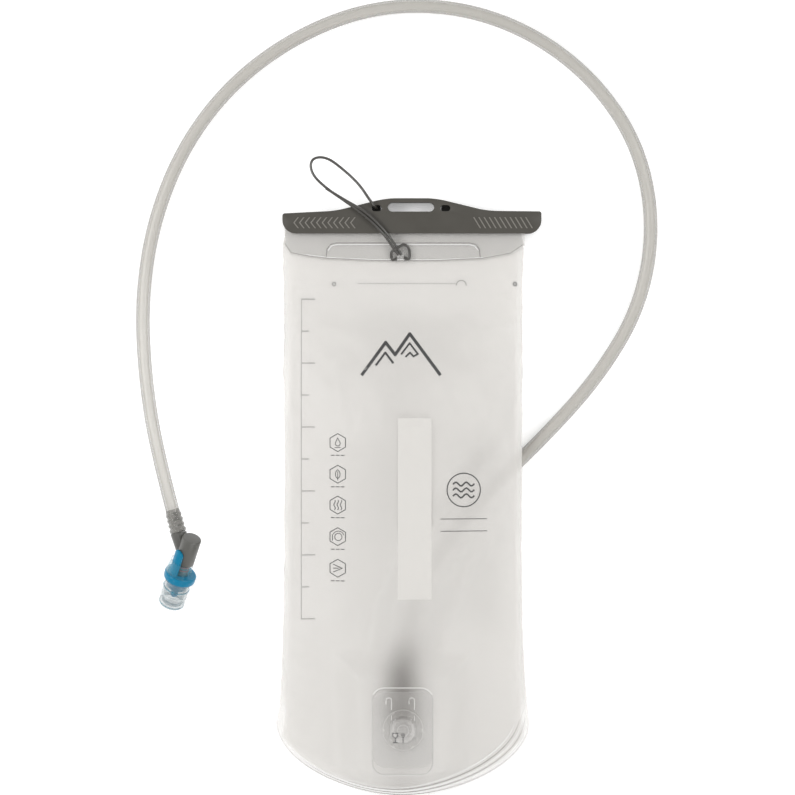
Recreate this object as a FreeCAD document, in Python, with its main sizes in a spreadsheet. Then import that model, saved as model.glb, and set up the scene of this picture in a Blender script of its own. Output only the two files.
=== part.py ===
import FreeCAD, Part
import math
import os
import Sketcher

# Hydration bladder lying on its back: X across the bag, Y up towards its slider, Z up out of its front.
# Millimetres. The origin is under the middle of the bag, on the surface that it lies on.

Vector = FreeCAD.Vector
doc = FreeCAD.newDocument("hydration_bladder")

# ---------------------------------------------------------------- driving dimensions
SIZES = {
    # the bag of two welded films
    "bag_shift": -4.0, "bag_half": 81.5, "ear_reach": 5.5, "film": 0.45, "film_gap": 0.02, "weld": 4.0,
    "mouth_y": 190.0, "ear_y": -155.0, "bottom_y": -205.3, "mouth_inset": 1.6,
    "side_z": 17.0, "bottom_z": 9.0, "front_rise": 28.5, "rest_gap": 0.2,
    # closure lips at the mouth, each with a bead along its top edge
    "lip_over_left": 0.1, "lip_over_right": 2.3, "lip_drop": 28.0, "lip_off": 0.65, "lip_thick": 1.2,
    "bead_wide": 6.4, "bead_over": 1.6, "bead_thick": 3.5, "grip_half": 50.25, "grip_thick": 0.7,
    # slider bar that clamps the lips
    "end_gap": 0.15, "end_wall": 1.25, "slider_over": 11.2, "lower_wall": 3.4, "upper_wall": 3.3,
    "wall": 2.0, "slack": 0.4, "bead_slack": 0.7, "bead_lift": 0.35, "arch_rise": 9.7,
    "slot_half": 12.8, "slot_radius": 3.1, "slot_x": 1.4, "slot_rise": 3.6,
    "hole_gap": 23.6, "hole_radius": 2.1,
    "rib_height": 0.4, "rib_wide": 0.9, "rib_half": 3.8, "chevron_in": 7.5,
    "chevron_deep": 3.0, "chevron_step": 3.9, "slash_in": 47.0, "slash_lean": 4.6, "slash_step": 3.57,
    # interlocking strips inside the bag
    "strip_left": -7.6, "strip_right": 15.2, "strip_low": -69.0, "strip_high": 54.0,
    "back_strip_low": -20.0, "strip_thick": 1.0, "strip_rib": 3.2,
    # outlet port on the back film
    "port_x": -4.1, "port_up": 45.6, "port_low": 10.8, "film_z": 16.8, "port_gap": 0.2, "patch_wide": 41.0,
    "patch_long": 52.0, "patch_thick": 1.5, "spigot": 9.8, "flange": 15.0, "housing": 13.0,
    "bore": 4.1, "seat": 3.2, "stem": 4.0, "stem_top": 17.2, "poppet_lift": 2.45, "cage": 8.0,
    "cage_top": 30.2,
    # drinking hose
    "hose_outer": 9.5, "hose_inner": 6.35, "hose_z": 4.9,
    # bite valve, along its own axis from the cap to the mouth
    "valve_length": 57.3, "valve_body": 6.6, "valve_step": 20.3, "branch_at": 18.6, "branch_angle": 43.2,
    "branch_turn": 38.0, "branch_length": 19.0, "collar": 11.0, "collar_low": 29.0, "collar_high": 34.7,
    "tab_gap": 0.4, "tab_thick": 1.6, "tab_half": 3.8, "tab_turn": -47.0, "tab_start": 9.5,
    "nozzle": 9.0, "nozzle_wall": 1.6, "valve_tilt": 30.0, "valve_heading": 19.1,
    "valve_x": -147.9, "valve_y": -27.5, "valve_z": 36.4,
    # slider tether
    "tether": 1.9,
}
sheet = doc.addObject("Spreadsheet::Sheet", "Size")
for row, (alias, number) in enumerate(SIZES.items(), 1):
    sheet.set("A" + str(row), alias)
    sheet.set("B" + str(row), str(number))
    sheet.setAlias("B" + str(row), alias)
doc.recompute()


def size(alias):
    return float(sheet.get(alias))


def number(formula):
    """The value of a formula of the sheet."""
    return float(sheet.evalExpression(formula))


# places that follow from the sizes: the mouth, its lips and the slider that closes on them
MOUTH_Z = "(Size.wall + Size.bead_lift + Size.bead_thick + Size.lip_off)"
LIP_LEFT = "(Size.bag_shift - Size.bag_half - Size.lip_over_left)"
LIP_RIGHT = "(Size.bag_shift + Size.bag_half + Size.lip_over_right)"
LIP_LOW = "(Size.mouth_y - Size.lip_drop)"
BEAD_HIGH = "(Size.mouth_y + Size.bead_over)"
BEAD_LOW = "(Size.mouth_y + Size.bead_over - Size.bead_wide)"
SLIDER_LEFT = "(" + LIP_LEFT + " - Size.end_gap - Size.end_wall)"
SLIDER_RIGHT = "(" + LIP_RIGHT + " + Size.slider_over)"
SLIDER_LOW = "(" + BEAD_LOW + " - Size.bead_slack - Size.lower_wall)"
SLIDER_HIGH = "(" + BEAD_HIGH + " + Size.bead_slack + Size.upper_wall)"
SLIDER_THICK = "(2 * " + MOUTH_Z + ")"
ARCH_HIGH = "(" + SLIDER_HIGH + " + Size.arch_rise)"
HOLE_Y = "(" + SLIDER_HIGH + " + Size.slot_rise)"
RIB_MIDDLE = "(" + BEAD_HIGH + " - Size.bead_wide / 2)"
PORT_Y = "(Size.bottom_y + Size.port_up)"
PLATE_Z = "(Size.film_z + Size.film + Size.port_gap)"

# ---------------------------------------------------------------- helpers
NODES = []


def node(piece, label):
    """Marks a finished piece: its label names its file."""
    piece.Label = label
    NODES.append(piece)
    return piece


def bind(piece, formulas):
    for name, formula in formulas.items():
        piece.setExpression(name, formula)
    return piece


def place(piece, x="0", y="0", z="0"):
    """Keeps a piece's origin at formulas of the sheet."""
    for axis, formula in zip("xyz", (x, y, z)):
        piece.setExpression("Placement.Base." + axis, formula)
    return piece


def box(name, wide, deep, tall, x, y, z):
    piece = doc.addObject("Part::Box", name)
    bind(piece, {"Length": wide, "Width": deep, "Height": tall})
    return place(piece, x, y, z)


def cylinder(name, radius, tall, x="0", y="0", z="0", axis=None):
    piece = doc.addObject("Part::Cylinder", name)
    bind(piece, {"Radius": radius, "Height": tall})
    if axis:
        piece.Placement.Rotation = FreeCAD.Rotation(Vector(0, 0, 1), axis)
    return place(piece, x, y, z)


def cone(name, start, end, tall, x="0", y="0", z="0", axis=None):
    piece = doc.addObject("Part::Cone", name)
    bind(piece, {"Radius1": start, "Radius2": end, "Height": tall})
    if axis:
        piece.Placement.Rotation = FreeCAD.Rotation(Vector(0, 0, 1), axis)
    return place(piece, x, y, z)


def ring(label, major, minor, z):
    """An O-ring lying in a level groove."""
    piece = doc.addObject("Part::Torus", label)
    bind(piece, {"Radius1": major, "Radius2": minor})
    return node(place(piece, z=z), label)


def fuse(name, pieces):
    joined = doc.addObject("Part::MultiFuse", name)
    joined.Shapes = pieces
    return joined


def cut(name, base, tool):
    rest = doc.addObject("Part::Cut", name)
    rest.Base = base
    rest.Tool = tool
    return rest


def common(name, base, tool):
    rest = doc.addObject("Part::Common", name)
    rest.Base = base
    rest.Tool = tool
    return rest


def new_body(name):
    return doc.addObject("PartDesign::Body", name)


def outline(body, role, corners, offset="0"):
    """Closed sketch on an origin plane, each corner held by two formulas of the sheet."""
    sketch = body.newObject("Sketcher::SketchObject", body.Name + "Outline")
    sketch.AttachmentSupport = [(next(f for f in body.Origin.OriginFeatures if f.Role == role), "")]
    sketch.MapMode = "FlatFace"
    sketch.setExpression("AttachmentOffset.Base.z", offset)
    turn = 2 * math.pi / len(corners)
    start = [Vector(10 * math.cos(turn * i), 10 * math.sin(turn * i), 0) for i in range(len(corners))]
    for i, point in enumerate(start):
        sketch.addGeometry(Part.LineSegment(point, start[(i + 1) % len(start)]), False)
    for i in range(len(corners)):
        sketch.addConstraint(Sketcher.Constraint("Coincident", i, 2, (i + 1) % len(corners), 1))
    for i, corner in enumerate(corners):
        for kind, value, formula in zip(("DistanceX", "DistanceY"), start[i], corner):
            index = sketch.addConstraint(Sketcher.Constraint(kind, -1, 1, i, 1, value))
            sketch.renameConstraint(index, kind + str(i))
            sketch.setExpression("Constraints." + kind + str(i), formula)
    return sketch


def rectangle(left, low, right, high):
    return [(left, low), (right, low), (right, high), (left, high)]


def pad(body, corners, tall, offset="0"):
    """A flat plate of the given outline, from a height up."""
    feature = body.newObject("PartDesign::Pad", body.Name + "Pad")
    feature.Profile = outline(body, "XY_Plane", corners, offset)
    feature.setExpression("Length", tall)
    return feature


def turned(name, corners, angle=360.0):
    """A body turned about Z from corners given as radius and height."""
    body = new_body(name)
    feature = body.newObject("PartDesign::Revolution", name + "Turn")
    feature.Profile = outline(body, "XZ_Plane", corners)
    feature.ReferenceAxis = (feature.Profile[0], ["V_Axis"])
    feature.Angle = angle
    return body


def round_uprights(body, feature, spots, radius):
    """Rounds the upright edges of a plate that stand at the given plan positions."""
    doc.recompute()
    names = []
    for index, edge in enumerate(feature.Shape.Edges, 1):
        middle = edge.CenterOfMass
        upright = abs(edge.BoundBox.ZLength - edge.Length) < 1e-3
        if upright and any(math.hypot(middle.x - x, middle.y - y) < 0.6 for x, y in spots):
            names.append("Edge" + str(index))
    fillet = body.newObject("PartDesign::Fillet", body.Name + "Fillet")
    fillet.Base = (feature, names)
    fillet.Radius = radius
    return fillet


def shape_piece(label, shape):
    """A piece whose shape is made by Part's own functions."""
    piece = doc.addObject("Part::Feature", label)
    piece.Shape = shape
    return node(piece, label)


# ---------------------------------------------------------------- soft shapes by formula
def smooth(t):
    """From 0 to 1 with level, unbent ends."""
    t = min(1.0, max(0.0, t))
    return t ** 3 * (10 - 15 * t + 6 * t * t)


def soft_plus(t, softness=2.0):
    """About t above zero and about zero below it, without a kink."""
    return 0.5 * (t + math.sqrt(t * t + softness ** 2))


HOSE_ROUTE = [  # plan position and height of the hose's axis, from the port's elbow to the bite valve
    (-4.1, -150.6, 4.9), (-4.6, -117, 4.9), (2, -79, 4.9), (19, -39, 4.9), (54, 4, 4.9), (93, 41, 4.9),
    (130, 82, 4.9), (159, 130, 4.9), (169, 185, 4.9), (159, 240, 4.9), (129, 286, 4.9), (85, 320, 4.9),
    (33, 338, 4.9), (-23, 338, 4.9), (-75, 319, 4.9), (-120, 287, 4.9), (-154, 244, 4.9),
    (-175.5, 192, 5.2), (-184, 138, 7.5), (-181.5, 83, 15), (-172, 28, 25.5), (-157.6, -24.2, 27.1),
]


def distance_to_hose(x, y):
    """Plan distance from a point to the hose's route under the bag."""
    best = 1e9
    for start, end in zip(HOSE_ROUTE[:6], HOSE_ROUTE[1:7]):
        run_x, run_y = end[0] - start[0], end[1] - start[1]
        along = ((x - start[0]) * run_x + (y - start[1]) * run_y) / (run_x ** 2 + run_y ** 2)
        along = min(1.0, max(0.0, along))
        best = min(best, math.hypot(x - start[0] - along * run_x, y - start[1] - along * run_y))
    return best


def bottom_at(u):
    """Y of the bag's lower edge, from ear to ear."""
    drop = size("ear_y") - size("bottom_y")
    return size("ear_y") - drop * max(0.0, 1 - abs(u) ** 1.75) ** 0.52


def half_width(v):
    inset = size("mouth_inset") * (1 - smooth((v - 0.013) / 0.05))
    shoulder = 1.3 * math.exp(-((v - 0.05) / 0.1) ** 2)
    return size("bag_half") + shoulder - inset + size("ear_reach") * v ** 10


def seam_z(v):
    """Height of the welded edge: low in the slider, lifted by the water at the sides, low at the end."""
    length = size("mouth_y") - size("bottom_y")
    start = (size("lip_drop") + 2) / length
    up = smooth((v - start) / 0.3)
    down = smooth((v - 0.68) / 0.32)
    mouth_z = number(MOUTH_Z)
    return mouth_z + (size("side_z") - mouth_z) * up - (size("side_z") - size("bottom_z")) * down


def pillow(u, v, y, power, reach, top_reach):
    """0 on the weld and 1 over the full part of the bag."""
    half = half_width(v)
    across = soft_plus(1 - (abs(u) * half / (half - size("weld"))) ** power, 0.1)
    above_end = soft_plus((y - bottom_at(u) - size("weld")) / reach, 0.1)
    lengthwise = 1 - (1 - min(1.0, above_end)) ** 3
    from_lip = smooth((number(LIP_LOW) - 1 - y) / top_reach)
    return across * lengthwise * from_lip


def front_inner_z(u, v, y):
    rise = size("front_rise") * pillow(u, v, y, 2.8, 66.0, 110.0)
    return seam_z(v) + rise + size("film_gap") / 2


def back_inner_z(u, v, y):
    """The back film lies flat on the floor, but rises over the hose and the port."""
    x = size("bag_shift") + u * half_width(v)
    full = min(1.0, pillow(u, v, y, 5.0, 44.0, 60.0))
    level = seam_z(v) * (1 - full) + (size("film") + size("rest_gap")) * full - size("film_gap") / 2
    over_hose = 1 - smooth((distance_to_hose(x, y) - 7.0) / 24.0)
    level += soft_plus(size("hose_outer") + 2.4 - level) * over_hose
    beside_x = abs(x - size("port_x")) - size("patch_wide") / 2
    beside_y = abs(y - number(PORT_Y)) - size("patch_long") / 2
    beside = max(beside_x, beside_y)
    over_port = (1 - smooth((beside - 3.5) / 28.0)) * smooth((y - bottom_at(u) - 2.0) / 14.0)
    level += (size("film_z") + size("film") - level) * over_port
    front = front_inner_z(u, v, y) - size("film_gap")
    return front - soft_plus(front - level, 0.02)


def grid_point(u, v):
    y = size("mouth_y") + v * (bottom_at(u) - size("mouth_y"))
    return size("bag_shift") + u * half_width(v), y


ACROSS = [math.sin(math.pi / 2 * (i / 15.0 - 1)) for i in range(31)]
DOWN = [0.65 * i / 44.0 + 0.35 * math.sin(math.pi / 2 * i / 44.0) for i in range(45)]


def sheet_solid(rows, thick):
    """Closed solid between a surface through rows of points and the same surface moved up or down."""
    skins = []
    for lift in (0.0, thick):
        skin = Part.BSplineSurface()
        skin.interpolate([[Vector(p.x, p.y, p.z + lift) for p in row] for row in rows])
        skins.append(skin.toShape())
    faces = [skins[0].Faces[0], skins[1].Faces[0]]
    for lower, upper in zip(skins[0].Edges, skins[1].Edges):
        faces.append(Part.makeRuledSurface(lower, upper))
    solid = Part.makeSolid(Part.makeShell(faces))
    if not solid.isValid() or solid.Volume <= 0:
        shell = Part.makeShell(faces)
        shell.sewShape()
        solid = Part.makeSolid(shell)
        solid.fix(1e-4, 1e-4, 1e-3)
    if solid.Volume < 0:
        solid.reverse()
    return solid


def film_panel(label, height, thick):
    rows = []
    for v in DOWN:
        row = []
        for u in ACROSS:
            x, y = grid_point(u, v)
            row.append(Vector(x, y, height(u, v, y)))
        rows.append(row)
    return shape_piece(label, sheet_solid(rows, thick))


def strip_on(height, left, right, low, high, start, end):
    """A strip that follows a film, between two depths measured from the film's inner face."""
    rows = []
    for i in range(19):
        y = low + (high - low) * i / 18
        row = []
        for j in range(5):
            x = left + (right - left) * j / 4
            u = (x - size("bag_shift")) / size("bag_half")
            v = (size("mouth_y") - y) / (size("mouth_y") - bottom_at(u))
            row.append(Vector(x, y, height(u, v, y) + start))
        rows.append(row)
    return sheet_solid(rows, end - start)


def arc_route(points):
    """Straight runs joined by tangent arcs: the wire, and the smallest arc radius."""
    points = [Vector(*p) for p in points]
    edges = []
    smallest = 1e9
    here = points[0]
    for before, corner, after in zip(points, points[1:], points[2:]):
        back = before - corner
        ahead = after - corner
        reach = 0.45 * min(back.Length, ahead.Length)
        turn = math.pi - back.getAngle(ahead)
        radius = reach / math.tan(turn / 2)
        back.normalize()
        ahead.normalize()
        start = corner + back * reach
        end = corner + ahead * reach
        inward = back + ahead
        inward.normalize()
        middle = corner + inward * (radius / math.cos(turn / 2) - radius)
        edges.append(Part.LineSegment(here, start).toShape())
        edges.append(Part.Arc(start, middle, end).toShape())
        smallest = min(smallest, radius)
        here = end
    edges.append(Part.LineSegment(here, points[-1]).toShape())
    return Part.Wire(edges), smallest


def rod_along(wire, points, radius):
    start = Vector(*points[0])
    circle = Part.Wire([Part.makeCircle(radius, start, Vector(*points[1]) - start)])
    return wire.makePipeShell([circle], True, False)


def cord(label, points, outer, inner=0.0):
    """A round tube along a route; its volume is compared with its section times its length."""
    wire, smallest = arc_route(points)
    tube = rod_along(wire, points, outer / 2)
    if inner:
        tube = tube.cut(rod_along(wire, points, inner / 2))
    expected = math.pi / 4 * (outer ** 2 - inner ** 2) * wire.Length
    print(label, "length", round(wire.Length, 1), "smallest radius", round(smallest, 1),
          "volume over section times length", round(tube.Volume / expected, 4))
    return shape_piece(label, tube)


# ---------------------------------------------------------------- bag films and inner strips
film_panel("front_panel", front_inner_z, size("film"))
film_panel("back_panel", back_inner_z, -size("film"))

strip = [size(a) for a in ("strip_left", "strip_right", "strip_low", "strip_high")]
thick, rib = size("strip_thick"), size("strip_rib")
front_strip = strip_on(front_inner_z, *strip, -0.1, -thick)
for left in (strip[0] + 0.4, strip[0] + 5.0):
    front_strip = front_strip.fuse(strip_on(front_inner_z, left, left + 1.6, *strip[2:], -thick / 2, -rib))
shape_piece("baffle_front", front_strip)

back_low = size("back_strip_low")
back_strip = strip_on(back_inner_z, *strip[:2], back_low, strip[3], 0.3, thick)
for left in (strip[0] + 2.4, strip[0] + 7.0, strip[1] - 2.0):
    upright = strip_on(back_inner_z, left, left + 1.6, back_low, strip[3], thick / 2, rib)
    back_strip = back_strip.fuse(upright)
shape_piece("baffle_back", back_strip)

# ---------------------------------------------------------------- closure lips
LIP_EDGE = [
    (LIP_LEFT, BEAD_HIGH), (LIP_LEFT, LIP_LOW + " + 11"), (LIP_LEFT + " + 4", LIP_LOW + " + 5.4"),
    (LIP_LEFT + " + 15", LIP_LOW + " + 3.3"), (LIP_LEFT + " + 30", LIP_LOW + " + 1.4"),
    (LIP_LEFT + " + 60", LIP_LOW), (LIP_RIGHT + " - 60", LIP_LOW), (LIP_RIGHT + " - 29", LIP_LOW + " + 1.4"),
    (LIP_RIGHT + " - 10", LIP_LOW + " + 5"), (LIP_RIGHT, LIP_LOW + " + 11"), (LIP_RIGHT, BEAD_HIGH),
]
BEAD = rectangle(LIP_LEFT, BEAD_LOW, LIP_RIGHT, BEAD_HIGH)
GRIP = [
    ("Size.bag_shift - Size.grip_half - 3", LIP_LOW + " + 2.2"),
    ("Size.bag_shift + Size.grip_half + 3", LIP_LOW + " + 2.2"),
    ("Size.bag_shift + Size.grip_half", LIP_LOW + " + 12.5"),
    ("Size.bag_shift - Size.grip_half", LIP_LOW + " + 12.5"),
]
LIP_Z = MOUTH_Z + " + Size.lip_off"
front_lip = new_body("FrontLip")
pad(front_lip, LIP_EDGE, "Size.lip_thick", LIP_Z)
pad(front_lip, BEAD, "Size.bead_thick", LIP_Z)
pad(front_lip, GRIP, "Size.grip_thick + 0.2", LIP_Z + " + Size.lip_thick - 0.2")
pad(front_lip, rectangle("-8.2", LIP_LOW + " + 0.2", "-3.6", LIP_LOW + " + 6"), "4.6", LIP_Z)
tunnel = cylinder("TetherTunnel", "1.2", "8", "-10", LIP_LOW + " + 3", LIP_Z + " + 2.9", Vector(1, 0, 0))
node(cut("FrontLipCut", front_lip, tunnel), "front_lip")

back_lip = new_body("BackLip")
pad(back_lip, LIP_EDGE, "Size.lip_thick", MOUTH_Z + " - Size.lip_off - Size.lip_thick")
pad(back_lip, BEAD, "Size.bead_thick", MOUTH_Z + " - Size.lip_off - Size.bead_thick")
node(back_lip, "back_lip")

# ---------------------------------------------------------------- slider bar
slider = new_body("SliderBlank")
blank = pad(slider, [
    (SLIDER_LEFT, SLIDER_LOW), (SLIDER_RIGHT, SLIDER_LOW),
    (SLIDER_RIGHT, SLIDER_HIGH + " + 0.6"), ("Size.slot_x + 52", SLIDER_HIGH + " + 1"),
    ("Size.slot_x + 17", ARCH_HIGH), ("Size.slot_x - 17", ARCH_HIGH),
    ("Size.slot_x - 52", SLIDER_HIGH + " + 1"), (SLIDER_LEFT, SLIDER_HIGH + " - 0.8"),
], SLIDER_THICK)
middle, high, arch = size("slot_x"), number(SLIDER_HIGH), number(ARCH_HIGH)
arch_spots = [(middle + 52, high + 1), (middle - 52, high + 1), (middle + 17, arch), (middle - 17, arch)]
blend = round_uprights(slider, blank, arch_spots, 70.0)
left, right, low = number(SLIDER_LEFT), number(SLIDER_RIGHT), number(SLIDER_LOW)
ends = round_uprights(slider, blend, [(left, low), (right, low)], 9.0)
round_uprights(slider, ends, [(left, high - 0.8), (right, high + 0.6)], 1.5)

# raised grip marks: arrowheads on the left show the way off, slashes on the right
rib_low, rib_high = RIB_MIDDLE + " - Size.rib_half", RIB_MIDDLE + " + Size.rib_half"
chevron_x = "(" + SLIDER_LEFT + " + Size.chevron_in)"
chevron = pad(slider, [
    (chevron_x, RIB_MIDDLE), (chevron_x + " + Size.chevron_deep", rib_low),
    (chevron_x + " + Size.chevron_deep + Size.rib_wide", rib_low),
    (chevron_x + " + Size.rib_wide", RIB_MIDDLE),
    (chevron_x + " + Size.chevron_deep + Size.rib_wide", rib_high),
    (chevron_x + " + Size.chevron_deep", rib_high),
], "Size.rib_height + 0.1", SLIDER_THICK + " - 0.1")
slash_x = "(" + SLIDER_RIGHT + " - Size.slash_in)"
slash = pad(slider, [
    (slash_x + " + Size.slash_lean", rib_low), (slash_x + " + Size.slash_lean + Size.rib_wide", rib_low),
    (slash_x + " + Size.rib_wide", rib_high), (slash_x, rib_high),
], "Size.rib_height + 0.1", SLIDER_THICK + " - 0.1")
for original, step, count in ((chevron, "Size.chevron_step", 11), (slash, "Size.slash_step", 11)):
    doc.recompute()
    marks = slider.newObject("PartDesign::LinearPattern", original.Name + "Row")
    marks.Originals = [original]
    marks.Direction = (original.Profile[0], ["H_Axis"])
    marks.Occurrences = count
    marks.setExpression("Length", step + " * " + str(count - 1))
    slider.Tip = marks

through = SLIDER_THICK + " + 2"
along_slider = SLIDER_RIGHT + " - " + SLIDER_LEFT
inside_left = SLIDER_LEFT + " + Size.end_wall"
cavity = box("BeadCavity", along_slider, "Size.bead_wide + 2 * Size.bead_slack",
             SLIDER_THICK + " - 2 * Size.wall", inside_left, BEAD_LOW + " - Size.bead_slack", "Size.wall")
mouth_gap = box("LipGap", along_slider, "Size.lower_wall + 4.5",
                "2 * (Size.lip_off + Size.lip_thick + Size.slack)", inside_left, SLIDER_LOW + " - 4",
                MOUTH_Z + " - Size.lip_off - Size.lip_thick - Size.slack")
slot = box("HandleSlot", "2 * Size.slot_half", "2 * Size.slot_radius", through,
           "Size.slot_x - Size.slot_half", HOLE_Y + " - Size.slot_radius", "-1")
slider_tools = [cavity, mouth_gap, slot]
for side in (-1, 1):
    slider_tools.append(cylinder("SlotEnd", "Size.slot_radius", through,
                                 "Size.slot_x + %d * Size.slot_half" % side, HOLE_Y, "-1"))
    hole_x, hole_y = "Size.slot_x + %d * Size.hole_gap" % side, HOLE_Y + " - 0.8"
    for shift in (" - 1.3", " + 1.3"):
        slider_tools.append(cylinder("CordHole", "Size.hole_radius", through, hole_x + shift, hole_y, "-1"))
    slider_tools.append(box("CordHoleMiddle", "2.6", "2 * Size.hole_radius", through, hole_x + " - 1.3",
                            hole_y + " - Size.hole_radius", "-1"))
node(cut("SliderBar", slider, fuse("SliderTools", slider_tools)), "slider_bar")


# ---------------------------------------------------------------- outlet port on the back film
def at_port(piece, label):
    return node(place(piece, "Size.port_x", PORT_Y), label)


patch = new_body("PatchPlate")
plate = pad(patch, rectangle("-Size.patch_wide / 2", "-Size.patch_long / 2", "Size.patch_wide / 2",
                             "Size.patch_long / 2"), "Size.patch_thick", PLATE_Z)
half_wide, half_long = size("patch_wide") / 2, size("patch_long") / 2
corners = [(side * half_wide, end * half_long) for side in (-1, 1) for end in (-1, 1)]
round_uprights(patch, plate, corners, 8.0)


def hook(x, low):
    """Outline of an upright rib whose top end curls over to the left."""
    curl = [(1.4, 20.6), (0.3, 22.5), (-1.9, 22.9), (-3.6, 21.6), (-2.7, 20.6), (-1.6, 21.4), (-0.4, 21.1),
            (0, 20.0)]
    return [(x, low), (x + " + 1.4", low)] + [(x + " + " + str(a), str(b)) for a, b in curl]


for rib_x in ("-8.6", "7.2"):
    pad(patch, hook(rib_x, "8"), "2.7", PLATE_Z + " + Size.patch_thick - 0.2")
patch_tools = [
    cylinder("PatchHole", "Size.spigot + 0.1", "8", z="Size.film_z - 1"),
    cylinder("RingRecess", "Size.flange - 0.6", "5", z=PLATE_Z + " + Size.patch_thick"),
]
at_port(cut("PortPatch", patch, fuse("PatchTools", patch_tools)), "port_patch")

SEAT_Z = "Size.film_z + 1.8"
SPIGOT_Z = "Size.film_z + 5.4"
housing = turned("Housing", [
    ("Size.bore", "Size.port_low"), ("Size.housing - 0.8", "Size.port_low"),
    ("Size.housing", "Size.port_low + 0.8"), ("Size.housing", "Size.film_z - 2"),
    ("Size.flange", "Size.film_z - 2"), ("Size.flange", "Size.film_z - Size.port_gap"),
    ("Size.spigot", "Size.film_z - Size.port_gap"), ("Size.spigot", SPIGOT_Z),
    ("Size.cage + 0.05", SPIGOT_Z),
    ("Size.cage + 0.05", SEAT_Z), ("Size.seat", SEAT_Z), ("Size.seat", SEAT_Z + " - 1.1"),
    ("Size.bore", SEAT_Z + " - 1.1"),
])
clip_slot = box("ClipSlot", "10.6", "20.5", "1.8", "-5.3", "-13.7", "Size.port_low + 0.7")
button_slot = box("ButtonSlot", "9.8", "8", "3.8", "-4.9", "-16.6", "Size.port_low - 0.2")
key_slot = box("KeySlot", "2.0", "2.4", "1.4", "-1", "3.4", "Size.port_low - 0.2")
housing_tools = fuse("HousingTools", [clip_slot, button_slot, key_slot])
at_port(cut("PortHousing", housing, housing_tools), "port_housing")

back_panel = next(piece for piece in NODES if piece.Label == "back_panel")
hole_base = Vector(size("port_x"), number(PORT_Y), size("film_z") - 3)
film_hole = Part.makeCylinder(size("spigot") + 0.1, 6, hole_base)
back_panel.Shape = back_panel.Shape.cut(film_hole)

GASKET_Z = PLATE_Z + " + Size.patch_thick + 0.02"
gasket = turned("Gasket", rectangle("Size.spigot + 0.05", GASKET_Z, "Size.flange - 1", GASKET_Z + " + 0.8"))
at_port(gasket, "port_gasket")
RING_Z = GASKET_Z + " + 0.8"
lock_ring = turned("LockRing", rectangle("Size.spigot + 0.05", RING_Z, "Size.flange - 1.4", SPIGOT_Z))
notch = cylinder("RingNotch", "1.3", "8", "Size.flange - 1.2", "0", "Size.film_z")
notches = [notch]
for turn in range(1, 6):
    angle = "cos(%d) * (Size.flange - 1.2)" % (60 * turn), "sin(%d) * (Size.flange - 1.2)" % (60 * turn)
    notches.append(cylinder("RingNotch", "1.3", "8", angle[0], angle[1], "Size.film_z"))
at_port(cut("PortRing", lock_ring, fuse("RingNotches", notches)), "port_ring")

cage = turned("Cage", [
    ("Size.cage - 1.2", SEAT_Z + " + 0.02"), ("Size.cage", SEAT_Z + " + 0.02"),
    ("Size.cage", "Size.cage_top - 1.6"), ("Size.cage - 1.6", "Size.cage_top"), ("0", "Size.cage_top"),
    ("0", "Size.cage_top - 1.2"), ("1.9", "Size.cage_top - 1.2"), ("1.9", "Size.cage_top - 3"),
    ("2.9", "Size.cage_top - 3"), ("2.9", "Size.cage_top - 1.2"), ("Size.cage - 2", "Size.cage_top - 1.2"),
    ("Size.cage - 1.2", "Size.cage_top - 2"),
])
windows = fuse("CageWindows", [
    box("WindowAcross", "2 * Size.cage + 2", "6", "4.2", "-Size.cage - 1", "-3", SPIGOT_Z + " + 0.4"),
    box("WindowAlong", "6", "2 * Size.cage + 2", "4.2", "-3", "-Size.cage - 1", SPIGOT_Z + " + 0.4"),
])
at_port(cut("ValveCage", cage, windows), "valve_cage")

POPPET_Z = SEAT_Z + " + Size.poppet_lift + 0.85"
poppet = turned("Poppet", [
    ("0", "Size.stem_top + 0.05"), ("1.0", "Size.stem_top + 0.05"), ("1.4", "Size.stem_top + 0.5"),
    ("1.4", POPPET_Z), ("4.8", POPPET_Z), ("4.8", POPPET_Z + " + 0.9"), ("1.7", POPPET_Z + " + 1.3"),
    ("1.7", "Size.cage_top - 2.6"), ("0", "Size.cage_top - 2.6"),
])
at_port(poppet, "poppet")
at_port(turned("Washer", rectangle("1.5", POPPET_Z + " - 0.8", "4.8", POPPET_Z)), "poppet_seal")

spring_low = size("film_z") + 1.8 + size("poppet_lift") + 0.85 + 1.3 + 0.3
spring_high = size("cage_top") - 1.2 - 0.3
spring_path = Part.makeHelix((spring_high - spring_low) / 3.5, spring_high - spring_low, 3.9)
spring_path.translate(Vector(0, 0, spring_low))
spring_wire = Part.Wire([Part.makeCircle(0.25, Vector(3.9, 0, spring_low), Vector(0, 1, 0.22))])
spring = shape_piece("poppet_spring", Part.Wire(spring_path.Edges).makePipeShell([spring_wire], True, True))
place(spring, "Size.port_x", PORT_Y)

CLIP_Z = "Size.port_low + 1"
clip = fuse("ClipShape", [
    box("ClipLegLeft", "1.6", "12.5", "1.2", "-4.9", "-7.5", CLIP_Z),
    box("ClipLegRight", "1.6", "12.5", "1.2", "3.3", "-7.5", CLIP_Z),
    box("ClipBend", "9.8", "1.6", "1.2", "-4.9", "4.9", CLIP_Z),
])
at_port(clip, "latch_clip")

button = new_body("Button")
cap = pad(button, rectangle("-4.6", "-15.2", "4.6", "-10.6"), "3.2", "Size.port_low + 0.2")
round_uprights(button, cap, [(-4.6, -15.2), (4.6, -15.2)], 1.8)
pad(button, [("-2.2", "-10.8"), ("2.2", "-10.8"), ("1.2", "-7.4"), ("-1.2", "-7.4")], "1.2", CLIP_Z)
at_port(button, "release_button")

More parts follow.
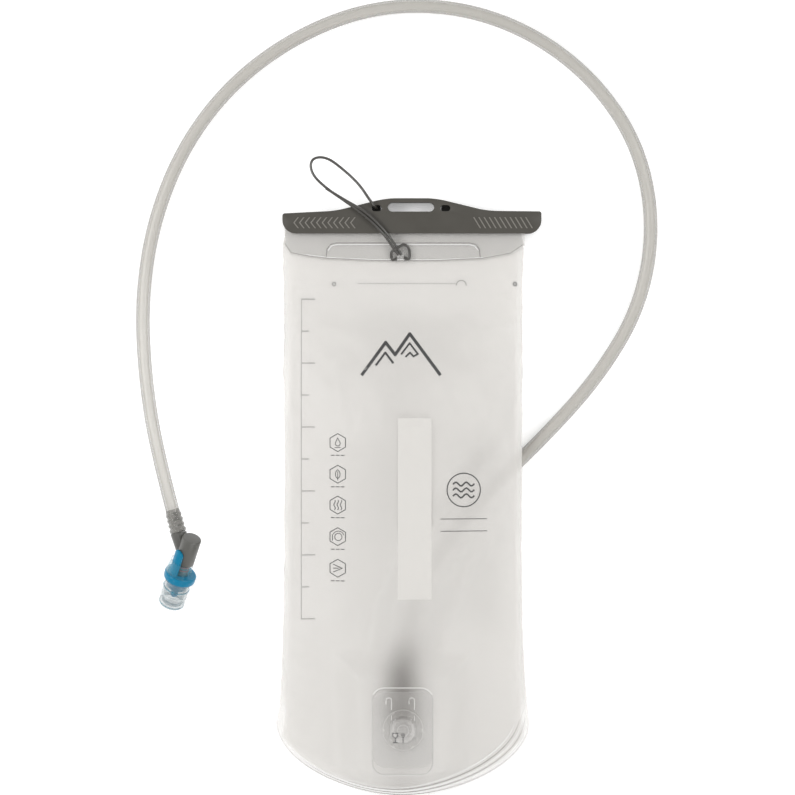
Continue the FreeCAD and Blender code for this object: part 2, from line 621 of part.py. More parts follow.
stem = turned("Stem", [
    ("0", "0.3"), ("5.3", "0.3"), ("6.3", "1.3"), ("6.3", "8.6"), ("5.4", "Size.port_low - 0.3"),
    ("Size.stem", "Size.port_low - 0.3"), ("Size.stem", "Size.port_low + 0.6"),
    ("Size.stem - 0.9", "Size.port_low + 0.6"), ("Size.stem - 0.9", "Size.port_low + 2.6"),
    ("Size.stem", "Size.port_low + 2.6"), ("Size.stem", "Size.port_low + 4"),
    ("Size.stem - 0.7", "Size.port_low + 4"), ("Size.stem - 0.7", "Size.port_low + 5.3"),
    ("Size.stem", "Size.port_low + 5.3"), ("Size.stem", "Size.stem_top"), ("0", "Size.stem_top"),
])
along = Vector(0, 1, 0)
elbow_parts = [
    stem, box("StemKey", "1.6", "1.6", "1.2", "-0.8", "3.6", "Size.port_low - 0.6"),
    cylinder("BarbShoulder", "Size.hose_outer / 2 - 0.15", "9.0", "0", "0", "Size.hose_z", along),
    cylinder("BarbCore", "2.7", "21.5", "0", "0", "Size.hose_z", along),
]
for i in range(3):
    elbow_parts.append(cone("BarbRib", "3.05", "2.6", "3.6", "0", str(10.2 + 3.8 * i), "Size.hose_z", along))
elbow_bores = fuse("ElbowBores", [
    cylinder("StemBore", "2.2", "20", z="Size.hose_z"),
    cylinder("BarbBore", "2.0", "30", "0", "0", "Size.hose_z", along),
    doc.addObject("Part::Sphere", "BoreBend"),
])
bind(elbow_bores.Shapes[2], {"Radius": "2.2", "Placement.Base.z": "Size.hose_z"})
at_port(cut("HoseElbow", fuse("ElbowSolid", elbow_parts), elbow_bores), "hose_elbow")
plug_seal = ring("plug_seal", "Size.stem - 0.31", "0.36", "Size.port_low + 4.65")
place(plug_seal, "Size.port_x", PORT_Y, "Size.port_low + 4.65")

# ---------------------------------------------------------------- drinking hose
cord("hose", HOSE_ROUTE, size("hose_outer"), size("hose_inner"))

# ---------------------------------------------------------------- bite valve, built along Z from its cap
heading, tilt = math.radians(size("valve_heading")), math.radians(size("valve_tilt"))
to_mouth = Vector(-math.sin(heading) * math.cos(tilt), -math.cos(heading) * math.cos(tilt), -math.sin(tilt))
to_side = Vector(-math.cos(heading), math.sin(heading), 0)
valve_turn = FreeCAD.Rotation(to_side, to_mouth.cross(to_side), to_mouth, "ZXY")


def in_valve(piece, label, turn=0.0, along=0.0):
    """Puts a piece of the bite valve on the valve's axis, turned about it and moved along it."""
    own = FreeCAD.Rotation(Vector(0, 0, 1), turn)
    piece.Placement = FreeCAD.Placement(Vector(), valve_turn.multiply(own))
    shift = to_mouth * along
    return node(place(piece, "Size.valve_x + " + str(shift.x), "Size.valve_y + " + str(shift.y),
                      "Size.valve_z + " + str(shift.z)), label)


angle, turn = math.radians(size("branch_angle")), math.radians(size("branch_turn"))
branch = Vector(math.sin(angle) * math.cos(turn), math.sin(angle) * math.sin(turn), -math.cos(angle))


def branch_spot(distance):
    """Formulas of the place at a distance along the branch."""
    reach = " + " + str(distance)
    return ("(0" + reach + ") * " + str(branch.x), "(0" + reach + ") * " + str(branch.y),
            "Size.branch_at + (0" + reach + ") * " + str(branch.z))


body_turn = turned("ValveBody", [
    ("0", "0"), ("Size.valve_body - 0.6", "0"), ("Size.valve_body", "0.6"),
    ("Size.valve_body", "Size.valve_step"), ("4.7", "Size.valve_step"), ("4.7", "22"), ("4.0", "22"),
    ("4.0", "23.2"), ("4.7", "23.2"), ("4.7", "24.8"), ("4.0", "24.8"), ("4.0", "26"), ("4.7", "26"),
    ("4.7", "31"), ("3.2", "31"), ("3.2", "20"), ("4.0", "18"), ("4.0", "2"), ("0", "2"),
])
branch_parts = [
    body_turn, cone("Branch", "4.2", "5.6", "Size.branch_length - 4", *branch_spot(4), branch),
    cylinder("HoseCore", "2.7", "15", *branch_spot(size("branch_length") - 0.5), branch),
]
for i in range(3):
    rib_spot = branch_spot(size("branch_length") + 1 + 3.8 * i)
    branch_parts.append(cone("HoseRib", "3.05", "2.6", "3.6", *rib_spot, branch))
branch_bore = cylinder("BranchBore", "2.0", "40", *branch_spot(0), branch)
in_valve(cut("ValveElbow", fuse("ValveSolid", branch_parts), branch_bore), "valve_elbow")
for label, height in (("spigot_seal_upper", 22.6), ("spigot_seal_lower", 25.4)):
    seal = bind(doc.addObject("Part::Torus", label), {"Radius1": "4.48", "Radius2": "0.44"})
    in_valve(seal, label, along=height)

core = turned("Core", [
    ("0", "31.02"), ("4.6", "31.02"), ("4.6", "32.2"), ("2.5", "33"), ("2.5", "48.4"), ("1.4", "49.6"),
    ("0", "49.6"),
])
core_holes = []
for i in range(3):
    across, up = "cos(%d) * 3.3" % (120 * i), "sin(%d) * 3.3" % (120 * i)
    core_holes.append(cylinder("CoreHole", "0.8", "6", across, up, "30"))
in_valve(cut("ValveCore", core, fuse("CoreHoles", core_holes)), "valve_core")

TAB_INNER = "(Size.valve_body + Size.tab_gap)"
TAB_OUTER = "(Size.valve_body + Size.tab_gap + Size.tab_thick)"
collar_turn = turned("Collar", [
    ("5", "Size.collar_low"), ("Size.collar - 0.9", "Size.collar_low"),
    ("Size.collar", "Size.collar_low + 0.9"), ("Size.collar", "Size.collar_high - 0.9"),
    ("Size.collar - 0.9", "Size.collar_high"),
    ("7.3", "Size.collar_high"), ("7.3", "41"), ("5.9", "41"), ("5.9", "33.6"), ("5", "33"),
])
tab_shell = cut("TabShell", cylinder("TabOuter", TAB_OUTER, "Size.collar_low + 0.5 - Size.tab_start",
                                     z="Size.tab_start"),
                cylinder("TabInner", TAB_INNER, "40", z="0"))
tab_slab = fuse("TabSlab", [
    box("TabStraight", "8", "2 * Size.tab_half", "Size.collar_low + 1 - Size.tab_start - Size.tab_half",
        "4", "-Size.tab_half", "Size.tab_start + Size.tab_half"),
    cylinder("TabRound", "Size.tab_half", "8", "4", "0", "Size.tab_start + Size.tab_half", Vector(1, 0, 0)),
])
twist_collar = fuse("TwistCollar", [collar_turn, common("ThumbTab", tab_shell, tab_slab)])
in_valve(twist_collar, "twist_collar", size("tab_turn"))

neck = [("5.05", "20.6"), ("6.3", "20.6")]
for i in range(3):
    start = 21.4 + 2.5 * i
    neck += [("6.3", str(start)), ("6.7", str(start + 0.4))]
    neck += [("6.7", str(start + 1)), ("6.3", str(start + 1.4))]
neck += [("6.3", "Size.collar_low - 0.02"), ("5.05", "Size.collar_low - 0.02")]
in_valve(turned("Neck", neck), "neck_sleeve")

cover = turned("Cover", [
    (TAB_OUTER + " + 0.1", "19.5"), (TAB_OUTER + " + 0.8", "19.5"),
    (TAB_OUTER + " + 2.0", "Size.collar_low - 0.02"), (TAB_OUTER + " + 1.3", "Size.collar_low - 0.02"),
], 130.0)
in_valve(cover, "tab_cover", size("tab_turn") - 65.0)

nozzle = turned("Nozzle", [
    ("7.4", "Size.collar_high + 0.1"), ("Size.nozzle + 0.4", "Size.collar_high + 0.1"),
    ("Size.nozzle + 0.4", "Size.collar_high + 1.6"), ("Size.nozzle", "Size.collar_high + 2.6"),
    ("Size.nozzle", "Size.valve_length - 3.4"), ("Size.nozzle - 0.9", "Size.valve_length - 1.2"),
    ("Size.nozzle - 3", "Size.valve_length"), ("0", "Size.valve_length"), ("0", "Size.valve_length - 2"),
    ("5.6", "Size.valve_length - 2"), ("Size.nozzle - Size.nozzle_wall", "Size.valve_length - 3.8"),
])
slit = box("BiteSlit", "9", "0.3", "8", "-4.5", "-0.15", "Size.valve_length - 5")
in_valve(cut("BiteNozzle", nozzle, slit), "bite_nozzle", 20.0)
seat_ring = turned("SeatRing", rectangle("6.2", "51.6", "7.35", "52.8"))
in_valve(seat_ring, "seat_ring")

# ---------------------------------------------------------------- slider tether
TETHER_ROUTE = [
    (-22.2, 198.4, 6.5), (-22.4, 198.4, 14.5), (-27.0, 203.8, 18.2), (-34, 214.5, 16), (-45, 225, 12.5),
    (-57, 234, 10.5), (-67.5, 232.8, 10.5), (-67.5, 222.5, 11.8), (-57, 212, 13.5), (-41, 201.3, 15.4),
    (-27, 190.5, 16.0), (-17.3, 180.6, 15.2), (-11.2, 172, 10.8),
]
cord("tether", TETHER_ROUTE, size("tether"))
KNOT_ROUTE = [
    (-11.1, 171.9, 10.7), (-12.6, 167.2, 10.4), (-11, 164.3, 10.1), (-8.5, 165, 10.05), (-3.4, 165, 10.05),
    (-0.6, 165.4, 10.1), (-0.6, 171, 10.5), (-3.6, 174.6, 11.4), (-8.2, 173.8, 12.8),
]
cord("tether_knot", KNOT_ROUTE, size("tether"))

# ---------------------------------------------------------------- checks and files
doc.recompute()
for piece in doc.Objects:
    if "Invalid" in piece.State or "Error" in piece.State:
        raise RuntimeError(piece.Label + " failed: " + str(piece.State))
for piece in NODES:
    if piece.Shape.isNull() or not piece.Shape.isValid() or piece.Shape.Volume <= 0:
        raise RuntimeError(piece.Label + " is not a valid solid")

os.makedirs("parts", exist_ok=True)
for piece in NODES:
    piece.Shape.exportStep("parts/" + piece.Label + ".step")
    reach = piece.Shape.BoundBox
    reach = (reach.XMin, reach.XMax, reach.YMin, reach.YMax, reach.ZMin, reach.ZMax)
    print(piece.Label, len(piece.Shape.Solids), "volume", round(piece.Shape.Volume, 1),
          [round(value, 1) for value in reach])
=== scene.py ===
import bmesh
import bpy
import math
from mathutils import Matrix, Vector, noise
from mathutils.bvhtree import BVHTree


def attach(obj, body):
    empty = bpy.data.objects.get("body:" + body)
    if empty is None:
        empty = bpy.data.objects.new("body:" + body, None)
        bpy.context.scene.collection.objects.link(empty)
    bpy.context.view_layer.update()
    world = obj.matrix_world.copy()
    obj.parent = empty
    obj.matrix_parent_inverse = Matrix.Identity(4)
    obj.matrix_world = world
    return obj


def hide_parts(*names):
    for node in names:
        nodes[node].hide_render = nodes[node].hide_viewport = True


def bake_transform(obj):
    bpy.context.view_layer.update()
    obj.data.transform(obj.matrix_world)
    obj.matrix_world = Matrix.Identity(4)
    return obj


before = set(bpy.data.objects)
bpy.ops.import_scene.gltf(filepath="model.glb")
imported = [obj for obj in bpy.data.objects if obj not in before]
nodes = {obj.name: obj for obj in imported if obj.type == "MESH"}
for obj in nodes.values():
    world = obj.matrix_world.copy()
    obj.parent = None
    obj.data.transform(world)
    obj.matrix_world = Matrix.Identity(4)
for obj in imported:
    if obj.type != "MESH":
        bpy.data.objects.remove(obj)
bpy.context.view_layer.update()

# ---------------------------------------------------------------- camera, floor and lights
# A white table under soft, even light from large panels, seen from straight above through
# a long lens. The floor lies a little under the bag.

view_wide = 0.5486
view_middle = (-0.0079, 0.0683)
camera_height = 3.0
sensor_wide = 36.0
table_half = 4.0
table_drop = 0.0006
camera_data = bpy.data.cameras.new("camera")
camera_data.sensor_width = sensor_wide
camera_data.lens = sensor_wide * camera_height / view_wide
camera = bpy.data.objects.new("camera", camera_data)
bpy.context.scene.collection.objects.link(camera)
camera.location = (*view_middle, camera_height)
bpy.context.scene.camera = camera

world = bpy.data.worlds.new("soft_room")
world.use_nodes = True
world.node_tree.nodes["Background"].inputs["Color"].default_value = (1.0, 1.0, 1.0, 1.0)
world.node_tree.nodes["Background"].inputs["Strength"].default_value = 0.75
bpy.context.scene.world = world
bpy.context.scene.view_settings.view_transform = "Standard"


def light_panel(name, place, wide, energy):
    data = bpy.data.lights.new(name, "AREA")
    data.shape = "SQUARE"
    data.size = wide
    data.energy = energy
    lamp = bpy.data.objects.new(name, data)
    lamp.location = place
    lamp.rotation_euler = (Vector((0.0, 0.05, 0.0)) - Vector(place)).to_track_quat("-Z", "Y").to_euler()
    bpy.context.scene.collection.objects.link(lamp)


light_panel("panel_left", (-0.95, 0.35, 0.9), 0.5, 7.0)
light_panel("panel_right", (0.9, 0.5, 1.1), 0.5, 5.0)
light_panel("panel_low", (0.25, -0.95, 0.9), 0.5, 4.0)


def new_piece(name, bm):
    """Makes a mesh object of a bmesh, with its place in its mesh."""
    mesh = bpy.data.meshes.new(name)
    bm.to_mesh(mesh)
    bm.free()
    piece = bpy.data.objects.new(name, mesh)
    bpy.context.scene.collection.objects.link(piece)
    return piece


def shader(name, color, roughness, **sockets):
    """A material whose plain values are set on its Principled shader."""
    material = bpy.data.materials.new(name)
    material.use_nodes = True
    bsdf = material.node_tree.nodes["Principled BSDF"]
    bsdf.inputs["Base Color"].default_value = (*color, 1.0)
    bsdf.inputs["Roughness"].default_value = roughness
    for socket, value in sockets.items():
        bsdf.inputs[socket.replace("_", " ")].default_value = value
    return material


def add_grain(material, scale, bump, roughness_low, roughness_high, tint=0.0):
    """Fine moulding grain: noise on the object drives bump, roughness and a slight tint."""
    tree = material.node_tree
    bsdf = tree.nodes["Principled BSDF"]
    place = tree.nodes.new("ShaderNodeTexCoord")
    fine = tree.nodes.new("ShaderNodeTexNoise")
    fine.inputs["Scale"].default_value = scale
    fine.inputs["Detail"].default_value = 3.0
    broad = tree.nodes.new("ShaderNodeTexNoise")
    broad.inputs["Scale"].default_value = scale / 12.0
    broad.inputs["Detail"].default_value = 2.0
    rough = tree.nodes.new("ShaderNodeMapRange")
    rough.inputs["From Min"].default_value = 0.3
    rough.inputs["From Max"].default_value = 0.7
    rough.inputs["To Min"].default_value = roughness_low
    rough.inputs["To Max"].default_value = roughness_high
    lift = tree.nodes.new("ShaderNodeBump")
    lift.inputs["Strength"].default_value = 0.5
    lift.inputs["Distance"].default_value = bump
    tree.links.new(place.outputs["Object"], fine.inputs["Vector"])
    tree.links.new(place.outputs["Object"], broad.inputs["Vector"])
    tree.links.new(broad.outputs["Fac"], rough.inputs["Value"])
    tree.links.new(rough.outputs["Result"], bsdf.inputs["Roughness"])
    tree.links.new(fine.outputs["Fac"], lift.inputs["Height"])
    tree.links.new(lift.outputs["Normal"], bsdf.inputs["Normal"])
    if tint:
        base = bsdf.inputs["Base Color"].default_value[:]
        mix = tree.nodes.new("ShaderNodeMix")
        mix.data_type = "RGBA"
        mix.inputs["A"].default_value = tuple(c * (1 - tint) for c in base[:3]) + (1.0,)
        mix.inputs["B"].default_value = tuple(min(1.0, c * (1 + tint)) for c in base[:3]) + (1.0,)
        tree.links.new(broad.outputs["Fac"], mix.inputs["Factor"])
        tree.links.new(mix.outputs["Result"], bsdf.inputs["Base Color"])
    return material


floor_mesh = bmesh.new()
bmesh.ops.create_grid(floor_mesh, x_segments=1, y_segments=1, size=table_half)
bmesh.ops.translate(floor_mesh, verts=floor_mesh.verts, vec=(0.0, 0.0, -table_drop))
floor = new_piece("table_top", floor_mesh)
floor.data.materials.append(shader("table_white", (0.93, 0.93, 0.93), 0.9,
                                   Emission_Color=(1.0, 1.0, 1.0, 1.0), Emission_Strength=0.22))

# ---------------------------------------------------------------- drinking hose
# A clear drawn tube of 9.5 mm with a 6.35 mm bore. It pushes onto the port's barb at one end
# and onto the bite valve's barb at the other, and lies in one loose loop beside the bag.

HOSE_ROUTE = [
    (-0.0041, -0.1506, 0.0049), (-0.0046, -0.117, 0.0049), (0.002, -0.079, 0.0049), (0.019, -0.039, 0.0049),
    (0.054, 0.004, 0.0049), (0.093, 0.041, 0.0049), (0.130, 0.082, 0.0049), (0.159, 0.130, 0.0049),
    (0.169, 0.185, 0.0049), (0.159, 0.240, 0.0049), (0.129, 0.286, 0.0049), (0.085, 0.320, 0.0049),
    (0.033, 0.338, 0.0049), (-0.023, 0.338, 0.0049), (-0.075, 0.319, 0.0049), (-0.120, 0.287, 0.0049),
    (-0.154, 0.244, 0.0049), (-0.1755, 0.192, 0.0052), (-0.184, 0.138, 0.0075), (-0.1815, 0.083, 0.015),
    (-0.172, 0.028, 0.0255), (-0.1576, -0.0242, 0.0271),
]
HOSE_OUTER = 0.0095
HOSE_BORE = 0.00635


def cord_curve(name, route, radius):
    """A curve of one smooth spline through the route, with flat closed ends."""
    data = bpy.data.curves.new(name, "CURVE")
    data.dimensions = "3D"
    spline = data.splines.new("NURBS")
    spline.points.add(len(route) - 1)
    for point, spot in zip(spline.points, route):
        point.co = (*spot, 1.0)
    spline.order_u = 3
    spline.use_endpoint_u = True
    spline.resolution_u = 16
    data.bevel_depth = radius
    data.bevel_resolution = 8
    data.use_fill_caps = True
    piece = bpy.data.objects.new(name, data)
    bpy.context.scene.collection.objects.link(piece)
    return piece


def clear_wall(material, face_on, edge_on, blend=0.5):
    """Makes a thin clear wall cover more where it is seen edge on, as drawn tube and film do."""
    tree = material.node_tree
    slant = tree.nodes.new("ShaderNodeLayerWeight")
    slant.inputs["Blend"].default_value = blend
    cover = tree.nodes.new("ShaderNodeMapRange")
    cover.inputs["To Min"].default_value = face_on
    cover.inputs["To Max"].default_value = edge_on
    tree.links.new(slant.outputs["Facing"], cover.inputs["Value"])
    tree.links.new(cover.outputs["Result"], tree.nodes["Principled BSDF"].inputs["Alpha"])
    return material


hose_clear = shader("hose_clear", (0.25, 0.235, 0.205), 0.24, Coat_Weight=0.8, Coat_Roughness=0.22)
clear_wall(hose_clear, 0.08, 1.0)
hose_air = add_grain(shader("hose_air", (0.65, 0.627, 0.58), 0.3), 70.0, 0.00002, 0.22, 0.4, 0.08)
clear_wall(hose_air, 0.55, 0.75, 0.3)
hose = cord_curve("drinking_hose", HOSE_ROUTE, HOSE_OUTER / 2)
hose.data.materials.append(hose_clear)
hose_bore = cord_curve("hose_bore", HOSE_ROUTE, HOSE_BORE / 2)
hose_bore.data.materials.append(hose_air)
for piece in (hose, hose_bore):
    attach(piece, "bag")
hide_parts("hose")

# ---------------------------------------------------------------- slider tether
# A thin elastic cord. One end is knotted in an oval hole of the slider bar, and a loop of it
# goes round the clear bridge on the front lip, so that the bar can't be lost.

TETHER_ROUTE = [
    (-0.0222, 0.1984, 0.0065), (-0.0224, 0.1984, 0.0145), (-0.027, 0.2038, 0.0182), (-0.034, 0.2145, 0.016),
    (-0.045, 0.225, 0.0125), (-0.057, 0.234, 0.0105), (-0.0675, 0.2328, 0.0105), (-0.0675, 0.2225, 0.0118),
    (-0.057, 0.212, 0.0135), (-0.041, 0.2013, 0.0154), (-0.027, 0.1905, 0.016), (-0.0173, 0.1806, 0.0152),
    (-0.0108, 0.1712, 0.0122), (-0.0074, 0.1662, 0.0116),
]
KNOT_ROUTE = [
    (-0.0085, 0.1703, 0.0128), (-0.0118, 0.1692, 0.0112), (-0.0125, 0.1660, 0.0103),
    (-0.0112, 0.1622, 0.0101), (-0.0085, 0.1640, 0.01005), (-0.0034, 0.1648, 0.01005),
    (-0.0012, 0.1632, 0.0101), (0.0006, 0.1640, 0.0101), (0.0004, 0.1705, 0.0105),
    (-0.0028, 0.1738, 0.0116), (-0.0062, 0.1724, 0.0142), (-0.0088, 0.1704, 0.0140),
]
STRAND_ROUTE = [
    (-0.0570, 0.2120, 0.0135), (-0.0455, 0.2046, 0.0150), (-0.0325, 0.1975, 0.0162),
    (-0.0250, 0.1915, 0.0163), (-0.0155, 0.1815, 0.0154), (-0.0088, 0.1722, 0.0126),
    (-0.0052, 0.1662, 0.0119),
]
TETHER = 0.0019


def follow(curve_piece):
    """Points along a curve's own smooth line."""
    depth = curve_piece.data.bevel_depth
    curve_piece.data.bevel_depth = 0.0
    bpy.context.view_layer.update()
    line = bpy.data.meshes.new_from_object(curve_piece)
    curve_piece.data.bevel_depth = depth
    return [tuple(vertex.co) for vertex in line.vertices]


def curve_to_mesh(curve_piece, name):
    bpy.context.view_layer.update()
    mesh = bpy.data.meshes.new_from_object(curve_piece.evaluated_get(bpy.context.evaluated_depsgraph_get()))
    mesh.name = name
    piece = bpy.data.objects.new(name, mesh)
    bpy.context.scene.collection.objects.link(piece)
    bpy.data.objects.remove(curve_piece)
    return piece


elastic = shader("elastic_grey", (0.038, 0.035, 0.030), 0.3, Coat_Weight=0.7, Coat_Roughness=0.16)
add_grain(elastic, 2600.0, 0.00005, 0.24, 0.4, 0.12)
tether_line = cord_curve("tether_line", TETHER_ROUTE, TETHER / 2)
tether_path = follow(tether_line)
tether = curve_to_mesh(tether_line, "slider_tether")
knot = cord_curve("tether_knot_loop", KNOT_ROUTE, TETHER / 2)
strand = curve_to_mesh(cord_curve("strand_line", STRAND_ROUTE, TETHER / 2), "tether_strand")
for piece in (tether, strand, knot):
    piece.data.materials.append(elastic)
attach(knot, "bag")
for piece in (tether, strand):
    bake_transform(piece)
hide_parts("tether")
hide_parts("tether_knot")

# ---------------------------------------------------------------- bag films
# Two milky films welded to each other round the sides and the bottom. The back one lies on the
# table, lifted by the hose and the port under it, and the front one stands over it like a pillow.

MM = 0.001
BAG_SHIFT, BAG_HALF, EAR_REACH, MOUTH_INSET = -4.0, 81.5, 5.5, 1.6
MOUTH_Y, EAR_Y, BOTTOM_Y, LIP_Y = 190.0, -155.0, -205.3, 162.0
MOUTH_Z, SIDE_Z, BOTTOM_Z, FRONT_RISE = 6.5, 17.0, 9.0, 28.5
FILM, WELD, FILM_GAP = 0.45, 4.0, 0.02
PORT_X, PORT_Y, PORT_FILM_Z, PORT_OPENING = -4.1, -159.7, 16.8, 9.0


def smooth(t):
    t = min(1.0, max(0.0, t))
    return t ** 3 * (10 - 15 * t + 6 * t * t)


def soft_plus(t, softness=2.0):
    return 0.5 * (t + math.sqrt(t * t + softness ** 2))


def bottom_at(u):
    return EAR_Y + (BOTTOM_Y - EAR_Y) * (1 - min(1.0, abs(u)) ** 1.75) ** 0.52


def half_width(v):
    inset = MOUTH_INSET * (1 - smooth((v - 0.013) / 0.05))
    return BAG_HALF + 1.3 * math.exp(-((v - 0.05) / 0.1) ** 2) - inset + EAR_REACH * v ** 10


def seam_z(v):
    start = (MOUTH_Y - LIP_Y + 2) / (MOUTH_Y - BOTTOM_Y)
    up = smooth((v - start) / 0.3)
    down = smooth((v - 0.68) / 0.32)
    return MOUTH_Z + (SIDE_Z - MOUTH_Z) * up - (SIDE_Z - BOTTOM_Z) * down


def pillow(u, v, y, power, reach, top_reach):
    half = half_width(v)
    across = soft_plus(1 - (abs(u) * half / (half - WELD)) ** power, 0.1)
    above_end = soft_plus((y - bottom_at(u) - WELD) / reach, 0.1)
    lengthwise = 1 - (1 - min(1.0, above_end)) ** 3
    return across * lengthwise * smooth((LIP_Y - 1 - y) / top_reach)


def front_z(u, v, y):
    return seam_z(v) + FRONT_RISE * pillow(u, v, y, 2.8, 66.0, 110.0) + FILM_GAP / 2


hose_plan = [(x / MM, y / MM) for x, y, z in HOSE_ROUTE[:6]]


def hose_distance(x, y):
    nearest = 1e9
    for (ax, ay), (bx, by) in zip(hose_plan, hose_plan[1:]):
        dx, dy = bx - ax, by - ay
        t = min(1.0, max(0.0, ((x - ax) * dx + (y - ay) * dy) / (dx * dx + dy * dy)))
        nearest = min(nearest, math.hypot(x - ax - t * dx, y - ay - t * dy))
    return nearest


def back_z(u, v, y):
    x = BAG_SHIFT + u * half_width(v)
    full = min(1.0, pillow(u, v, y, 5.0, 44.0, 60.0))
    level = seam_z(v) * (1 - full) + (FILM + 0.2) * full - FILM_GAP / 2
    over_hose = 1 - smooth((hose_distance(x, y) - 7.0) / 24.0)
    level += soft_plus(9.5 + 2.4 - level) * over_hose
    beside = max(abs(x - PORT_X) - 20.5, abs(y - PORT_Y) - 26.0)
    over_port = (1 - smooth((beside - 3.5) / 28.0)) * smooth((y - bottom_at(u) - 2.0) / 14.0)
    level += (PORT_FILM_Z + FILM - level) * over_port
    front = front_z(u, v, y) - FILM_GAP
    return front - soft_plus(front - level, 0.02)


def wrinkle(x, y, edge, seed):
    """Soft dents of a full film, and short puckers that run in from its weld."""
    low = noise.noise(Vector((x / 46.0, y / 70.0, seed)))
    fine = noise.noise(Vector((x / 17.0, y / 30.0, seed + 5.0)))
    pucker = noise.noise(Vector((0.0, y / 8.0 + x / 40.0, seed + 9.0))) * math.exp(-edge / 11.0)
    upper = 1 + 1.2 * math.exp(-((y - 135.0) / 30.0) ** 2)
    return 1.1 * low + 0.45 * fine + 1.7 * pucker * upper


def painted_hose_shade(x, y):
    """Painted shade on the milky film at a plan point: a dark band over the hose end towards the port, a
    faint band along the hose under the bag and a broad darker middle of the bag.
    """
    port_band_shade = 0.7 * smooth((-80.0 - y) / 54.0) * (1 - 0.8 * smooth((-144.0 - y) / 16.0))
    hose_line_shade = 0.12 * math.exp(-(hose_distance(x, y) / 14.0) ** 2) * smooth((-40.0 - y) / 60.0)
    middle = 0.055 * math.exp(-((x + 2.0) / 42.0) ** 2) * smooth((150.0 - y) / 60.0)
    return port_band_shade * math.exp(-(hose_distance(x, max(y, -150.0)) / 13.0) ** 2) + hose_line_shade + middle


def film_sheet(name, height, across, down, seed, outward):
    """A sheet of film over the bag's outline, with its weld flat, its middle slightly dented and a painted
    shade value at each point.
    """
    bm = bmesh.new()
    bmesh.ops.create_grid(bm, x_segments=across, y_segments=down, size=1.0)
    weld = bm.verts.layers.float.new("weld")
    painted_shade = bm.verts.layers.float.new("painted_shade")
    for vert in bm.verts:
        u = math.sin(math.pi / 2 * vert.co.x)
        t = (1 - vert.co.y) / 2
        v = 0.65 * t + 0.35 * math.sin(math.pi / 2 * t)
        y = MOUTH_Y + v * (bottom_at(u) - MOUTH_Y)
        half = half_width(v)
        x = BAG_SHIFT + u * half
        edge = min(half * (1 - abs(u)), y - bottom_at(u))
        inside = smooth((edge - WELD) / 7.0) * smooth((LIP_Y + 6 - y) / 16.0)
        side_wave = noise.noise(Vector((0.0, y / 26.0, 3.0 + (u > 0))))
        side_wave += 0.5 * noise.noise(Vector((4.0, y / 9.0, u > 0)))
        side_wave *= 0.9 * abs(u) ** 6 * smooth((172 - y) / 14)
        z = height(u, v, y) + inside * outward * wrinkle(x, y, edge - WELD, seed)
        low_end = 1 - smooth((y - bottom_at(u) - 14.0) / 16.0)
        ridges = ((WELD, 0.12 + 0.2 * low_end), (WELD + 3.4, 0.28 * low_end),
                  (WELD - 2.2, 0.15 * low_end))
        for line, lift in ridges:
            z += lift * outward * math.exp(-((edge - line) / 0.8) ** 2) * smooth((LIP_Y - y) / 10.0)
        vert[weld] = (1 - smooth((edge - WELD + 0.6) / 1.2)) * (0.35 + 0.65 * low_end)
        # painted shade: how much darker and less clear the film is drawn here
        vert[painted_shade] = painted_hose_shade(x, y)
        vert.co = ((x + side_wave) * MM, y * MM, z * MM)
    bmesh.ops.recalc_face_normals(bm, faces=bm.faces)
    piece = new_piece(name, bm)
    if (piece.data.polygons[0].normal.z > 0) != (outward > 0):
        piece.data.flip_normals()
    return piece


def settle_film(piece, grow, cap, steps):
    """Lets a film that is cut a little large buckle between its welds, by cloth simulation."""
    held = piece.vertex_groups.new(name="held")
    weld = piece.data.attributes["weld"].data
    for index, vertex in enumerate(piece.data.vertices):
        if weld[index].value > 0.05 or vertex.co.y > (LIP_Y - 4) * MM:
            held.add([index], 1.0, "REPLACE")
    start = [vertex.co.copy() for vertex in piece.data.vertices]
    cloth = piece.modifiers.new("settle", "CLOTH")
    cloth.settings.quality = 4
    cloth.settings.mass = 0.12
    cloth.settings.tension_stiffness = 30.0
    cloth.settings.compression_stiffness = 30.0
    cloth.settings.shear_stiffness = 15.0
    cloth.settings.bending_stiffness = 0.25
    cloth.settings.shrink_min = -grow
    cloth.settings.vertex_group_mass = "held"
    cloth.settings.effector_weights.gravity = 0.0
    cloth.point_cache.frame_start = 1
    cloth.point_cache.frame_end = steps
    scene = bpy.context.scene
    for step in range(1, steps + 1):
        scene.frame_set(step)
    bpy.context.view_layer.update()
    settled = piece.evaluated_get(bpy.context.evaluated_depsgraph_get()).to_mesh()
    ends = [vertex.co.copy() for vertex in settled.vertices]
    piece.modifiers.remove(cloth)
    scene.frame_set(1)
    for vertex, before, after in zip(piece.data.vertices, start, ends):
        move = after - before
        if move.length > cap:
            move *= cap / move.length
        vertex.co = before + move
    piece.vertex_groups.clear()


